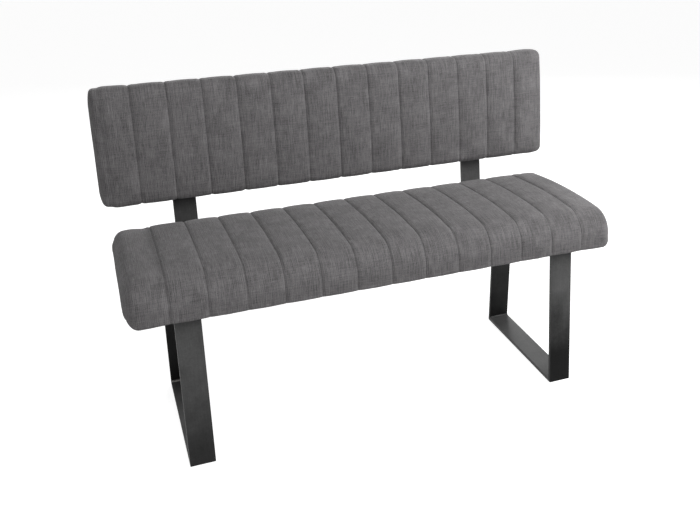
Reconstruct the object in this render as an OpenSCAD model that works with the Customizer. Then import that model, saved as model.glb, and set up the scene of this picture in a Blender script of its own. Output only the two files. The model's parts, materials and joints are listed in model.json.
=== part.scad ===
// Upholstered bench with a low backrest: two channel-quilted cushions on plywood boards,
// two welded flat-bar leg frames under the seat and two bent flat-bar supports for the back.
// X runs along the bench, Y from the front to the rear, Z up. The origin lies on the floor
// in the middle of the bench's length and depth.

/* [Bench] */
// Length of the seat cushion
seat_l = 1232; // [1000:1:1600]
// How much longer the back cushion is than the seat
back_extra = 24; // [0:1:60]
// Height of the seat's underside, which is the top of the leg frames
leg_h = 390; // [340:1:440]

/* [Seat cushion] */
// Depth of the seat cushion, front to rear
seat_d = 454; // [400:1:520]
// Thickness of the seat cushion at its crest
seat_t = 105; // [90:1:130]
// Radius of the waterfall front edge
seat_front_r = 68; // [45:1:75]
// Radius of the rear top edge
seat_rear_r = 28; // [20:1:35]
// Radius of the lower edges
seat_base_r = 10; // [8:1:18]
// Radius of the rounded ends of the seat cushion
seat_end_r = 26; // [18:1:30]
// Distance of the crest behind the front edge
seat_crest = 130; // [100:1:180]
// Drop of the top from the crest to the rear edge
seat_fall = 20; // [4:1:24]
// Drop of the crown at the ends of the seat
seat_end_fall = 8; // [2:0.5:9]
// Overhang of the seat in front of the runners
seat_overhang = 32; // [10:1:60]

/* [Back cushion] */
// Height of the back cushion along its own slope
back_h = 313; // [240:1:380]
// Thickness of the back cushion at its crest
back_t = 86; // [82:1:110]
// Radius of the top front edge
back_top_r = 30; // [20:1:34]
// Radius of the top rear edge
back_rear_r = 40; // [15:1:42]
// Radius of the bottom front edge
back_bottom_r = 22; // [15:1:34]
// Radius of the bottom rear edge
back_base_r = 14; // [8:1:18]
// Radius of the rounded ends of the back cushion
back_end_r = 20; // [15:1:27]
// Drop of the front face from its crest to the top and bottom edges
back_fall = 5; // [2:1:10]
// Drop of the front face at the ends of the back cushion
back_end_fall = 5; // [2:0.5:9]
// Gap between the seat's crest and the back cushion's lower edge
back_gap = 29; // [15:1:80]
// Distance from the rear of the seat to the rear face of the back cushion, at its lower edge
back_setback = 57; // [40:1:90]
// Lean of the backrest, in degrees
back_lean = 3; // [0:0.5:8]

/* [Quilting] */
// Number of channels along each cushion
channels = 14; // [10:1:15]
// Depth of the sewn channels
channel_depth = 6; // [3:0.5:8]
// Thickness of the quilted cover and its wadding over the foam
quilt_t = 14; // [12:0.5:18]
// Extra width of the two end channels, which turn round the end
end_turn = 10; // [5:0.5:20]
// Crown of the end faces
end_crown = 5; // [2:0.5:8]

/* [Boards] */
// Thickness of the plywood in the seat
seat_board_t = 15; // [12:1:18]
// Thickness of the plywood in the back
back_board_t = 15; // [12:1:18]
// Thickness of the cloth that closes the underside of the seat and the rear of the back
cloth_t = 2; // [1:0.5:3]
// Width of the cover's hem that is turned in over the board's edge
hem_w = 35; // [20:1:50]

/* [Leg frames] */
// Width of the flat bar, along the bench
bar_w = 60; // [50:1:80]
// Thickness of the flat bar
bar_t = 10; // [8:0.5:12]
// Distance from the rear of the seat forward to the rear end of the leg frames' top bars
top_bar_inset = 45; // [20:1:90]
// Distance from the seat's end to the outer face of the leg frame
leg_inset = 106; // [60:1:200]
// Setback of the front leg's top from its foot
front_rake = 7; // [0:1:40]
// Setback of the rear leg's top from its foot
rear_rake = 39; // [0:1:60]
// Leg length of the fillet welds in the inner corners
weld = 5; // [3:0.5:8]

/* [Back supports] */
// Width of the bent flat bar
support_w = 60; // [50:1:80]
// Thickness of the bent flat bar
support_t = 10; // [8:0.5:12]
// Gap between the leg frame and the back support
support_gap = 1.5; // [1:0.5:60]
// Inner radius of the bend under the seat
bend_r = 45; // [25:1:60]
// Length of the foot that lies under the seat, from the rear of the seat forward
foot_l = 190; // [150:1:240]
// Distance from the support's upper end to the top of the back cushion
support_top = 50; // [40:1:80]

/* [Fasteners] */
// Diameter of the screws
screw_d = 8; // [6:1:8]
// Length of the screws under the head
screw_l = 26; // [20:1:28]
// Diameter of the button heads
head_d = 14; // [13:0.5:16]
// Height of the button heads
head_h = 4.4; // [4:0.1:5]
// Width across the flats of the hexagon sockets
socket_w = 5; // [4:0.5:6]
// Diameter of the washers
washer_d = 17; // [16:0.5:20]
// Thickness of the washers
washer_t = 1.6; // [1:0.1:2]
// Diameter of the tee nuts' barrels
nut_d = 10.5; // [10:0.5:12]
// Diameter of the tee nuts' flanges
nut_flange_d = 20; // [18:0.5:24]
// Thickness of the tee nuts' flanges
nut_flange_t = 1.5; // [1:0.1:2]
// Radial clearance of the screws in the steel
hole_gap = 0.5; // [0.3:0.1:1]
// Radial clearance of the screws in the tee nuts and of the nuts in the boards
thread_gap = 0.1; // [0.05:0.05:0.2]
// Distance between the screws across a leg frame's top bar
frame_pitch_x = 30; // [24:1:34]
// Distance from the ends of the top bar to its screws
frame_screw_end = 60; // [40:1:90]
// Distance between the screws along the foot of a back support
foot_pitch = 55; // [40:1:60]
// Distance from the foot's front end to its first screw
foot_screw_end = 25; // [20:1:35]
// Distance from the support's upper end to its first screw
back_screw_end = 40; // [25:1:50]
// Distance between the screws in the upright of a back support
back_pitch = 70; // [50:1:75]

/* [Hidden] */
eps = 0.01;
round_fn = 48;

// How far a cutting form reaches past what it cuts
cut = 1;

// Colours
cloth_grey = "#5f5d5d";
foam_white = "#e2dcc8";
plywood = "#c8a673";
black_cloth = "#1d1d1f";
raw_steel = "#3a3a3b";
zinc = "#b9bcbf";

// The back's length and the runner's length follow the seat
back_l = seat_l + back_extra;
runner_l = seat_d - seat_overhang - top_bar_inset + rear_rake;

// Where the frames and supports stand
frame_x = seat_l / 2 - leg_inset - bar_w / 2;
support_x = seat_l / 2 - leg_inset - bar_w - support_gap - support_w / 2;
front_y = -runner_l / 2;
rear_y = runner_l / 2;
seat_y = front_y - seat_overhang;
seat_rear_y = seat_y + seat_d;
back_y = seat_rear_y + back_setback;
back_z = leg_h + seat_t + back_gap;

// Centre of the bend of a back support, and its place along the upright
bend_z = leg_h + bend_r;
bend_y = back_y + ((bend_z - back_z) * sin(back_lean) - bend_r) / cos(back_lean);
bend_u = (bend_y - back_y) * sin(back_lean) + (bend_z - back_z) * cos(back_lean);
support_u = back_h - support_top;

// Places of the screws
frame_screw_y = [front_y + front_rake + frame_screw_end, rear_y - rear_rake - frame_screw_end];
frame_screws_at = [for (side = [-1, 1], dx = [-1, 1], y = frame_screw_y)
    [side * frame_x + dx * frame_pitch_x / 2, y]];
foot_screws_at = [for (side = [-1, 1], i = [0:2])
    [side * support_x, seat_rear_y - foot_l + foot_screw_end + i * foot_pitch]];
back_screws_at = [for (side = [-1, 1], i = [0:2])
    [side * support_x, support_u - back_screw_end - i * back_pitch]];

// The rearmost point, on a top screw head or on the support's upper end, and the middle of the depth
screw_rear_y = back_y + (support_u - back_screw_end + head_d / 4) * sin(back_lean)
    + (support_t + washer_t + head_h) * cos(back_lean);
support_rear_y = back_y + support_u * sin(back_lean) + support_t * cos(back_lean);
middle_y = (seat_y + max(screw_rear_y, support_rear_y)) / 2;

// A cushion is described by one list, whose entries these names stand for.
// Its u axis runs across the cushion and its v axis from the base to the crown.
LENGTH = 0;
DEPTH = 1;
THICK = 2;
FIRST_R = 3;
SECOND_R = 4;
FIRST_BASE_R = 5;
SECOND_BASE_R = 6;
END_R = 7;
CREST = 8;
FIRST_FALL = 9;
SECOND_FALL = 10;
END_FALL = 11;
seat_front_fall = 2;
seat_form = [seat_l, seat_d, seat_t, seat_front_r, seat_rear_r, seat_base_r, seat_base_r, seat_end_r,
    seat_crest, seat_front_fall, seat_fall, seat_end_fall];
back_form = [back_l, back_h, back_t, back_bottom_r, back_top_r, back_base_r, back_rear_r, back_end_r,
    back_h / 2, back_fall, back_fall, back_end_fall];

function arc(u, v, r, from, to, n) =
    [for (i = [0:n]) let (a = from + (to - from) * i / n) [u + r * cos(a), v + r * sin(a)]];

// Where the crown begins and ends across a cushion
function crown_from(c) = c[FIRST_R];
function crown_to(c) = c[DEPTH] - c[SECOND_R];

// Height of the crown at u
function crown(c, u) =
    c[THICK] - (u < c[CREST]
        ? c[FIRST_FALL] * pow((c[CREST] - u) / (c[CREST] - crown_from(c)), 2)
        : c[SECOND_FALL] * pow((u - c[CREST]) / (crown_to(c) - c[CREST]), 2));

// Points along the crown between its two ends, moved inwards by d
function crown_points(c, d) =
    [for (i = [1:3]) let (u = crown_from(c) + (crown_to(c) - crown_from(c)) * i / 4) [u, crown(c, u) - d]];

// A radius of an outline that is moved inwards by d
least_r = 2;
function inner_r(r, d) = max(r - d, least_r);

// The two top corners of a cushion's outline moved inwards by d, with n steps in each
function first_top(c, d, n) = let (r = inner_r(c[FIRST_R], d))
    arc(d + r, crown(c, crown_from(c)) - d - r, r, 180, 90, n);
function second_top(c, d, n) = let (r = inner_r(c[SECOND_R], d))
    arc(c[DEPTH] - d - r, crown(c, crown_to(c)) - d - r, r, 90, 0, n);

// The whole outline moved inwards by d, from base to base over the crown
base_steps = 2;
first_steps = 5;
second_steps = 3;
function outline(c, d) =
    let (first = inner_r(c[FIRST_BASE_R], d), second = inner_r(c[SECOND_BASE_R], d))
    concat(
        arc(d + first, d + first, first, 270, 180, base_steps),
        first_top(c, d, first_steps),
        crown_points(c, d),
        second_top(c, d, second_steps),
        arc(c[DEPTH] - d - second, d + second, second, 0, -90, base_steps));

// Share of the channel depth that each outline point takes: the seams fade out at the base
seam_share = concat([0, 0.4, 0.8], [for (i = [1:first_steps + second_steps + 5]) 1], [0.8, 0.4, 0]);

// Places across one channel as shares of its width, and the depth of the quilting there:
// the pad is almost flat and turns down steeply into the seam
channel_steps = [[0, 1], [0.14, 0.22], [0.5, 0], [0.86, 0.22]];

// Places along a cushion from its left end to its right: [x, inset at the rounded end, share of the depth].
// The outer halves of the first and last channel are smooth and turn round the ends.
function end_stations(c) = [for (a = [0, 30, 60])
    [c[LENGTH] / 2 - (a == 0 ? end_crown : c[END_R] * (1 - cos(a))), c[END_R] * (1 - sin(a)), 0]];
function mid_stations(c) =
    let (pitch = (c[LENGTH] - 2 * end_turn) / channels)
    [for (j = [0:channels - 1], step = channel_steps)
        if ((j > 0 || step[0] >= 0.5) && (j < channels - 1 || step[0] <= 0.5))
            [(j + step[0] - channels / 2) * pitch, 0, step[1]]];
function stations(c) = concat(
    [for (s = end_stations(c)) [-s[0], s[1], s[2]]],
    [[-c[LENGTH] / 2 + c[END_R], 0, 0]],
    [for (s = mid_stations(c)) if (s[0] < c[LENGTH] / 2 - c[END_R]) s],
    [[c[LENGTH] / 2 - c[END_R], 0, 0]],
    [for (i = [2:-1:0]) end_stations(c)[i]]);

// Share of the thickness that is left at x: the end channels fall towards the end
function end_share(c, x) =
    let (seam = (c[LENGTH] / 2 - end_turn) * (1 - 2 / channels),
         past = max(abs(x) - seam, 0) / (c[LENGTH] / 2 - seam))
    1 - c[END_FALL] / c[THICK] * pow(past, 2);

// The closed, channelled outer form of a cushion, with its base at v = 0
module quilted_form(c) {
    outer = outline(c, 0);
    inner = outline(c, c[END_R]);
    along = stations(c);
    m = len(outer);
    n = len(along);
    rings = [for (s = along, k = [0:m - 1])
        let (sewn = (1 - s[1] / c[END_R]) * s[2] * channel_depth * seam_share[k],
             p = outer[k] + (inner[k] - outer[k]) * (s[1] + sewn) / c[END_R])
        [s[0], p[0], p[1] * end_share(c, s[0])]];
    end_middles = [for (side = [-1, 1]) [side * c[LENGTH] / 2, c[DEPTH] / 2, c[THICK] / 2]];
    polyhedron(
        points = concat(rings, end_middles),
        faces = concat(
            [for (i = [0:n - 2], k = [0:m - 1]) [i * m + k, i * m + (k + 1) % m, (i + 1) * m + (k + 1) % m]],
            [for (i = [0:n - 2], k = [0:m - 1]) [i * m + k, (i + 1) * m + (k + 1) % m, (i + 1) * m + k]],
            [for (k = [0:m - 1]) [n * m, (k + 1) % m, k]],
            [for (k = [0:m - 1]) [n * m + 1, (n - 1) * m + k, (n - 1) * m + (k + 1) % m]]));
}

// The foam block of a cushion, from the board's top at v = base up to the wadding
end_wadding = 4;
foam_end = quilt_t + end_wadding;
module foam_form(c, base) {
    along_x(c[LENGTH] - 2 * foam_end)
        polygon(concat(
            [[quilt_t, base]],
            first_top(c, quilt_t, first_steps + 1),
            crown_points(c, quilt_t),
            second_top(c, quilt_t, second_steps + 1),
            [[c[DEPTH] - quilt_t, base]]));
}

// A plate between two heights, kept clear of the cushion's edges by margins
module plate_form(c, v0, v1, first, second, end) {
    translate([-c[LENGTH] / 2 + end, first, v0])
        cube([c[LENGTH] - 2 * end, c[DEPTH] - first - second, v1 - v0]);
}

// The board stays clear of the rounded lower edges
board_gap = 4;
module board_form(c, board_t) {
    plate_form(c, cloth_t, cloth_t + board_t,
        c[FIRST_BASE_R] + board_gap, c[SECOND_BASE_R] + board_gap, c[END_R] + board_gap);
}

// The closing cloth fills the space inside the hem; reach lets the same form cut through the base
module cloth_form(c, reach = 0) {
    plate_form(c, -reach, cloth_t,
        c[FIRST_BASE_R] + hem_w, c[SECOND_BASE_R] + hem_w, c[END_R] + hem_w);
}

// A flat shape in the Y-Z plane drawn out along X, centred on x = 0
module along_x(w) {
    translate([-w / 2, 0, 0])
        rotate([90, 0, 90])
            linear_extrude(w)
                children();
}

// The cushion's own frame to the bench: the seat lies on the leg frames
module on_seat() {
    translate([0, seat_y - middle_y, leg_h])
        children();
}

// The cushion's own frame to the bench: the back stands on its lower edge and leans
module on_back() {
    translate([0, back_y - middle_y, back_z])
        rotate([90 - back_lean, 0, 0])
            children();
}

module placed() {
    translate([0, -middle_y, 0])
        children();
}

module cover_of(c, board_t) {
    difference() {
        quilted_form(c);
        foam_form(c, cloth_t + board_t);
        board_form(c, board_t);
        cloth_form(c, cut);
    }
}

// Depth of the hexagon socket as a share of the head's height
socket_share = 0.6;

// A button-head screw with a hexagon socket, its seat at z = 0 and its shank upwards
module screw() {
    difference() {
        union() {
            cylinder(d = screw_d, h = screw_l, $fn = round_fn);
            intersection() {
                translate([0, 0, head_r() - head_h])
                    sphere(r = head_r(), $fn = round_fn);
                translate([0, 0, -head_h])
                    cylinder(d = head_d, h = head_h, $fn = round_fn);
            }
        }
        translate([0, 0, -head_h - eps])
            cylinder(d = socket_w / cos(30), h = head_h * socket_share, $fn = 6);
    }
}

// Radius of the ball whose cap is the button head
function head_r() = (head_h * head_h + head_d * head_d / 4) / (2 * head_h);

// A washer under a screw head, its upper face at z = 0
module washer() {
    difference() {
        translate([0, 0, -washer_t])
            cylinder(d = washer_d, h = washer_t, $fn = round_fn);
        screw_holes([[0, 0]], -washer_t, 0);
    }
}

// A tee nut let into a board: barrel down, flange flush with the board's top at z = top
module tee_nut(bottom, top) {
    difference() {
        union() {
            translate([0, 0, bottom])
                cylinder(d = nut_d, h = top - bottom, $fn = round_fn);
            translate([0, 0, top - nut_flange_t])
                cylinder(d = nut_flange_d, h = nut_flange_t, $fn = round_fn);
        }
        translate([0, 0, bottom - cut])
            cylinder(d = screw_d + 2 * thread_gap, h = top - bottom + 2 * cut, $fn = round_fn);
    }
}

// The holes for a set of screws through something between two heights
module screw_holes(places, z0, z1) {
    for (p = places)
        translate([p[0], p[1], z0 - cut])
            cylinder(d = screw_d + 2 * hole_gap, h = z1 - z0 + 2 * cut, $fn = round_fn);
}

// The places of the seat's screws in the seat's own frame
seat_screws_local = [for (p = concat(frame_screws_at, foot_screws_at)) [p[0], p[1] - seat_y]];

module board_of(c, board_t, places) {
    color(plywood)
        difference() {
            board_form(c, board_t);
            for (p = places)
                translate([p[0], p[1], 0])
                    nut_pocket(cloth_t, cloth_t + board_t);
        }
}

// The hole that a tee nut sits in, open at both faces of the board
module nut_pocket(bottom, top) {
    translate([0, 0, bottom - cut])
        cylinder(d = nut_d + 2 * thread_gap, h = top - bottom + 2 * cut, $fn = round_fn);
    translate([0, 0, top - nut_flange_t])
        cylinder(d = nut_flange_d + 2 * thread_gap, h = nut_flange_t + cut, $fn = round_fn);
}

module cloth_of(c, places) {
    difference() {
        cloth_form(c);
        screw_holes(places, 0, cloth_t);
    }
}

// The barrels of the tee nuts end short of the board's lower face
nut_short = 1;
module nuts_of(board_t, places) {
    color(zinc)
        for (p = places)
            translate([p[0], p[1], 0])
                tee_nut(cloth_t + nut_short, cloth_t + board_t);
}

module seat_cover() {
    color(cloth_grey)
        on_seat()
            cover_of(seat_form, seat_board_t);
}

module seat_foam() {
    color(foam_white)
        on_seat()
            foam_form(seat_form, cloth_t + seat_board_t);
}

module seat_board() {
    on_seat()
        board_of(seat_form, seat_board_t, seat_screws_local);
}

module seat_bottom_cloth() {
    color(black_cloth)
        on_seat()
            cloth_of(seat_form, seat_screws_local);
}

module seat_tee_nuts() {
    on_seat()
        nuts_of(seat_board_t, seat_screws_local);
}

module back_cover() {
    color(cloth_grey)
        on_back()
            cover_of(back_form, back_board_t);
}

module back_foam() {
    color(foam_white)
        on_back()
            foam_form(back_form, cloth_t + back_board_t);
}

module back_board() {
    on_back()
        board_of(back_form, back_board_t, back_screws_at);
}

module back_rear_cloth() {
    color(cloth_grey)
        on_back()
            cloth_of(back_form, back_screws_at);
}

module back_tee_nuts() {
    on_back()
        nuts_of(back_board_t, back_screws_at);
}

// Outer corners of a leg frame in the Y-Z plane: runner front, runner rear, top rear, top front
frame_outer = [[front_y, 0], [rear_y, 0], [rear_y - rear_rake, leg_h], [front_y + front_rake, leg_h]];

// Where the inner faces of the bars on both sides of a corner meet
function inner_corner(i) =
    let (a = frame_outer[(i + 3) % 4], b = frame_outer[i], c = frame_outer[(i + 1) % 4],
         d1 = (b - a) / norm(b - a), d2 = (c - b) / norm(c - b),
         n1 = [-d1[1], d1[0]], n2 = [-d2[1], d2[0]])
    b + bar_t * (n1 + n2) / (1 + n1 * n2);

// One mitred flat bar of a leg frame, from corner i to the next corner
module frame_bar(i, side) {
    color(raw_steel)
        placed()
            translate([side * frame_x, 0, 0])
                along_x(bar_w)
                    polygon([frame_outer[i], frame_outer[(i + 1) % 4], inner_corner((i + 1) % 4), inner_corner(i)]);
}

// The top bar, with its screw holes
module top_bar(side) {
    difference() {
        frame_bar(2, side);
        placed()
            screw_holes(frame_screws_at, leg_h - bar_t, leg_h);
    }
}

// The fillet welds in the four inner corners of a leg frame
module welds(side) {
    color(raw_steel)
        placed()
            translate([side * frame_x, 0, 0])
                along_x(bar_w)
                    for (i = [0:3])
                        let (c = inner_corner(i), p = inner_corner((i + 3) % 4), q = inner_corner((i + 1) % 4))
                        polygon([c, c + weld * (p - c) / norm(p - c), c + weld * (q - c) / norm(q - c)]);
}

module left_runner() frame_bar(0, -1);
module left_rear_leg() frame_bar(1, -1);
module left_top_bar() top_bar(-1);
module left_front_leg() frame_bar(3, -1);
module left_welds() welds(-1);
module right_runner() frame_bar(0, 1);
module right_rear_leg() frame_bar(1, 1);
module right_top_bar() top_bar(1);
module right_front_leg() frame_bar(3, 1);
module right_welds() welds(1);

// All that lies on the inner side of a bend of radius r: in front of the upright and above the foot
module inside_bend(r, past) {
    foot_front = seat_rear_y - foot_l - past;
    up = [sin(back_lean), cos(back_lean)];
    out = [cos(back_lean), -sin(back_lean)];
    bend = [bend_y, bend_z];
    top = bend + (support_u - bend_u + past) * up;
    polygon([[foot_front, bend_z - r], [bend_y, bend_z - r], bend, bend + r * out, top + r * out, top,
        [foot_front, top[1]]]);
    translate(bend)
        circle(r = r, $fn = 2 * round_fn);
}

// The side view of a back support: foot, bend and upright
module support_profile() {
    difference() {
        inside_bend(bend_r + support_t, 0);
        inside_bend(bend_r, support_t);
    }
}

// A flat bar bent to an L, which carries the back
module back_support(side) {
    color(raw_steel)
        difference() {
            placed()
                translate([side * support_x, 0, 0])
                    along_x(support_w)
                        support_profile();
            placed()
                screw_holes(foot_screws_at, leg_h - support_t, leg_h);
            on_back()
                screw_holes(back_screws_at, -support_t, 0);
        }
}

module left_back_support() back_support(-1);
module right_back_support() back_support(1);

// A set of washers or screws that come from below something whose lower face is at z = face
module screws_at(places, face) {
    color(zinc)
        for (p = places)
            translate([p[0], p[1], face - washer_t])
                screw();
}

module washers_at(places, face) {
    color(zinc)
        for (p = places)
            translate([p[0], p[1], face])
                washer();
}

module frame_screws() placed() screws_at(frame_screws_at, leg_h - bar_t);
module support_screws() placed() screws_at(foot_screws_at, leg_h - support_t);
module back_screws() on_back() screws_at(back_screws_at, -support_t);
module frame_washers() placed() washers_at(frame_screws_at, leg_h - bar_t);
module support_washers() placed() washers_at(foot_screws_at, leg_h - support_t);
module back_washers() on_back() washers_at(back_screws_at, -support_t);

seat_cover();
seat_foam();
seat_board();
seat_bottom_cloth();
seat_tee_nuts();
back_cover();
back_foam();
back_board();
back_rear_cloth();
back_tee_nuts();
left_front_leg();
left_rear_leg();
left_runner();
left_top_bar();
left_welds();
right_front_leg();
right_rear_leg();
right_runner();
right_top_bar();
right_welds();
left_back_support();
right_back_support();
frame_screws();
support_screws();
back_screws();
frame_washers();
support_washers();
back_washers();
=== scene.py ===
"""The looks of an upholstered bench: two channel-quilted cushions on blackened flat-bar frames.

Lengths are metres, X runs along the bench, Y from the front to the rear and Z up. The frames, supports
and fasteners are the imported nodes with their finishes. The cushions, the foam, the closing cloths, the
stitches, the staples and the weld beads are made here.
"""

import json  # noqa: E402
import logging  # noqa: E402
import math  # noqa: E402
from collections.abc import Mapping, Sequence  # noqa: E402
from dataclasses import dataclass, field  # noqa: E402
from enum import Enum  # noqa: E402
from typing import ClassVar  # noqa: E402

import bpy  # noqa: E402
import numpy as np  # noqa: E402
from mathutils import Matrix, Vector  # noqa: E402

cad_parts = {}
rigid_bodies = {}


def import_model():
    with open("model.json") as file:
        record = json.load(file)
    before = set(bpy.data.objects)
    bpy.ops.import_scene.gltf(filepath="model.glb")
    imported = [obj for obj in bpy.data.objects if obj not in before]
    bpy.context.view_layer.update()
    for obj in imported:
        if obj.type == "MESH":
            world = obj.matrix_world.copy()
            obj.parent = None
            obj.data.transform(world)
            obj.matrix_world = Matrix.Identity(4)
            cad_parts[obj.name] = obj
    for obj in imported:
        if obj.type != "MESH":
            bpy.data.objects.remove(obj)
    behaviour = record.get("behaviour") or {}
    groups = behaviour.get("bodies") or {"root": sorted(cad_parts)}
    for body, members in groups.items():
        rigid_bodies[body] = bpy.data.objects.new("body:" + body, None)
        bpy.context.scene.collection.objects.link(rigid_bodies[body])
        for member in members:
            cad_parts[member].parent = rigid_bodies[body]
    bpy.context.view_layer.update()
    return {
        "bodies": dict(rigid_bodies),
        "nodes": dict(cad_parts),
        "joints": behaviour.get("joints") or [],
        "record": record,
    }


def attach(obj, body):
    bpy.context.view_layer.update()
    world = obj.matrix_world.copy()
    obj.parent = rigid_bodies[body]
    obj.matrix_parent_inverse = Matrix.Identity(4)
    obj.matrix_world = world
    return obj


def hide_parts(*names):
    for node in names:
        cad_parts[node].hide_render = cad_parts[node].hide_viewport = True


LOG = logging.getLogger("bench")
MM = 0.001
PHOTO_WIDTH = 700
PHOTO_HEIGHT = 525
CLOTH_MAP = "cloth"
BODY = "root"
WHITE = (1.0, 1.0, 1.0, 1.0)

Triple = tuple[float, float, float]
Colour = Triple
Pair = tuple[float, float]
Socket = bpy.types.NodeSocket
Piece = bpy.types.Object


def linear(*levels: float) -> Colour:
    """The linear colour of three 8-bit display levels."""
    shares = [level / 255 for level in levels]
    return tuple(s / 12.92 if s <= 0.04045 else ((s + 0.055) / 1.055) ** 2.4 for s in shares)


def grey(level: float) -> Colour:
    """The linear colour of one 8-bit display level."""
    return linear(level, level, level)


def rgba(colour: Colour, times: float = 1.0) -> tuple[float, float, float, float]:
    """A colour as a socket takes it, made lighter or darker."""
    return (colour[0] * times, colour[1] * times, colour[2] * times, 1.0)


class NodeTree:
    """Adds nodes to a shader or geometry tree."""

    WAVE_SCALE = math.pi / 10

    def __init__(self, tree: bpy.types.NodeTree) -> None:
        """Starts on a tree whose nodes are kept."""
        self.tree = tree

    def add(self, kind: str, inputs: Mapping[int | str, object] | None = None,
            **settings: object) -> bpy.types.Node:
        """Adds a node.

        Args:
            kind: the node's type name.
            inputs: values by socket name or number; a node or socket is linked, anything else is set.
            settings: the node's own properties.

        Returns:
            The new node.
        """
        node = self.tree.nodes.new(kind)
        for name, value in settings.items():
            setattr(node, name, value)
        self.connect(node, inputs or {})
        return node

    def connect(self, node: bpy.types.Node, inputs: Mapping[int | str, object]) -> None:
        """Links or sets a node's sockets.

        Args:
            node: the node.
            inputs: values by socket name or number.
        """
        for key, value in inputs.items():
            if isinstance(value, bpy.types.Node):
                value = value.outputs[0]
            if isinstance(value, Socket):
                self.tree.links.new(value, node.inputs[key])
            else:
                node.inputs[key].default_value = value

    def math(self, operation: str, a: object, b: object = 0.0, c: object = 0.0) -> Socket:
        """One step of arithmetic on numbers or sockets."""
        return self.add("ShaderNodeMath", {0: a, 1: b, 2: c}, operation=operation).outputs[0]

    def noise(self, vector: object, scale: float, detail: float = 2.0, rough: float = 0.5) -> Socket:
        """Noise from 0 to 1 on a vector."""
        values = {"Vector": vector, "Scale": scale, "Detail": detail, "Roughness": rough}
        return self.add("ShaderNodeTexNoise", values).outputs[0]

    def streaks(self, vector: object, scale: Sequence[float], detail: float = 3.0) -> Socket:
        """Noise whose grain differs along each axis."""
        moved = self.add("ShaderNodeMapping", {"Vector": vector, "Scale": tuple(scale)})
        return self.noise(moved, 1.0, detail, 0.6)

    def wave(self, vector: object, pitch: float, axis: str, wobble: float = 1.5) -> Socket:
        """A slightly uneven sine from 0 to 1 along one axis.

        Args:
            vector: the place.
            pitch: its length in metres.
            axis: its direction.
            wobble: how uneven it is.

        Returns:
            The sine's socket.
        """
        values = {"Vector": vector, "Scale": self.WAVE_SCALE / pitch, "Distortion": wobble, "Detail": 1.0,
                  "Detail Scale": 0.5}
        return self.add("ShaderNodeTexWave", values, bands_direction=axis).outputs[1]

    def ramp(self, value: object, low: float, high: float, to_low: float, to_high: float) -> Socket:
        """A value moved smoothly from one range to another and held inside it."""
        values = {0: value, 1: low, 2: high, 3: to_low, 4: to_high}
        return self.add("ShaderNodeMapRange", values, interpolation_type="SMOOTHSTEP").outputs[0]

    def mix(self, factor: object, a: object, b: object) -> Socket:
        """A mix of two colours."""
        return self.add("ShaderNodeMix", {0: factor, 6: a, 7: b}, data_type="RGBA").outputs[2]

    def scaled(self, colour: object, times: object) -> Socket:
        """A colour made lighter or darker."""
        return self.add("ShaderNodeVectorMath", {0: colour, "Scale": times}, operation="SCALE").outputs[0]

    def varied(self, parts: Sequence[tuple[object, float]]) -> Socket:
        """A level round 1 from noises and their weights.

        Args:
            parts: each noise with its weight.

        Returns:
            The level's socket.
        """
        level: object = 1.0
        for part, weight in parts:
            level = self.math("MULTIPLY_ADD", self.math("SUBTRACT", part, 0.5), weight, level)
        return level

    def bump(self, height: object, strength: float, depth: float) -> Socket:
        """A normal bent by a height map."""
        values = {"Height": height, "Strength": strength, "Distance": depth}
        return self.add("ShaderNodeBump", values).outputs[0]

    def at(self) -> Socket:
        """The place on the object, in metres."""
        return self.add("ShaderNodeTexCoord").outputs["Object"]


class Finish:
    """A finish of one material slot; each kind fills in its own nodes."""

    slot: str

    def make(self) -> bpy.types.Material:
        """Makes the material.

        Returns:
            The material.
        """
        material = bpy.data.materials.new(self.slot)
        material.use_nodes = True
        tree = NodeTree(material.node_tree)
        shader = material.node_tree.nodes["Principled BSDF"]
        tree.connect(shader, self.sockets(tree))
        return material

    def sockets(self, tree: NodeTree) -> dict[str, object]:
        """The shader's sockets with what each is linked or set to."""
        raise NotImplementedError


@dataclass(frozen=True)
class QuiltedCloth(Finish):
    """Matt grey woven cloth with slubs along both threads, on the piece's own map in metres."""

    slot: str = "quilted_cloth"
    colour: Colour = linear(107, 105, 106)
    thread_pitch: float = 1.5 * MM
    rib_pitch: float = 4.0 * MM

    def sockets(self, tree: NodeTree) -> dict[str, object]:
        """Mottles, streaks and weaves the cloth.

        Args:
            tree: the material's tree.

        Returns:
            The shader's sockets with what each is linked or set to.
        """
        cloth = tree.add("ShaderNodeUVMap", uv_map=CLOTH_MAP).outputs[0]
        warp = tree.streaks(cloth, (300, 14, 1))
        fine_warp = tree.streaks(cloth, (560, 40, 1))
        weft = tree.streaks(cloth, (16, 290, 1))
        fine_weft = tree.streaks(cloth, (44, 540, 1))
        clouds = tree.noise(cloth, 20, 5, 0.62)
        grain = tree.streaks(cloth, (420, 420, 1), 2)
        ribs = tree.wave(cloth, self.rib_pitch, "X")
        level = tree.varied(((warp, 1.25), (fine_warp, 1.2), (weft, 0.6), (fine_weft, 0.7), (clouds, 0.6),
                             (grain, 1.1), (ribs, 0.2)))
        dark, light = rgba(self.colour, 0.96), rgba(self.colour, 1.04)
        tint = tree.mix(tree.ramp(clouds, 0.35, 0.65, 0.0, 1.0), dark, light)
        across = tree.wave(cloth, self.thread_pitch, "X")
        along = tree.wave(cloth, self.thread_pitch, "Y")
        weave = tree.math("MULTIPLY", across, along)
        slubs = tree.math("MULTIPLY_ADD", weft, 0.8, tree.math("MULTIPLY", warp, 1.2))
        height = tree.math("MULTIPLY_ADD", ribs, 0.3, tree.math("ADD", slubs, weave))
        return {
            "Base Color": tree.scaled(tint, level),
            "Roughness": tree.ramp(warp, 0.3, 0.7, 0.82, 0.95),
            "Specular IOR Level": 0.25,
            "Sheen Weight": 0.12,
            "Sheen Roughness": 0.5,
            "Normal": tree.bump(height, 0.5, 0.5 * MM),
        }


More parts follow.
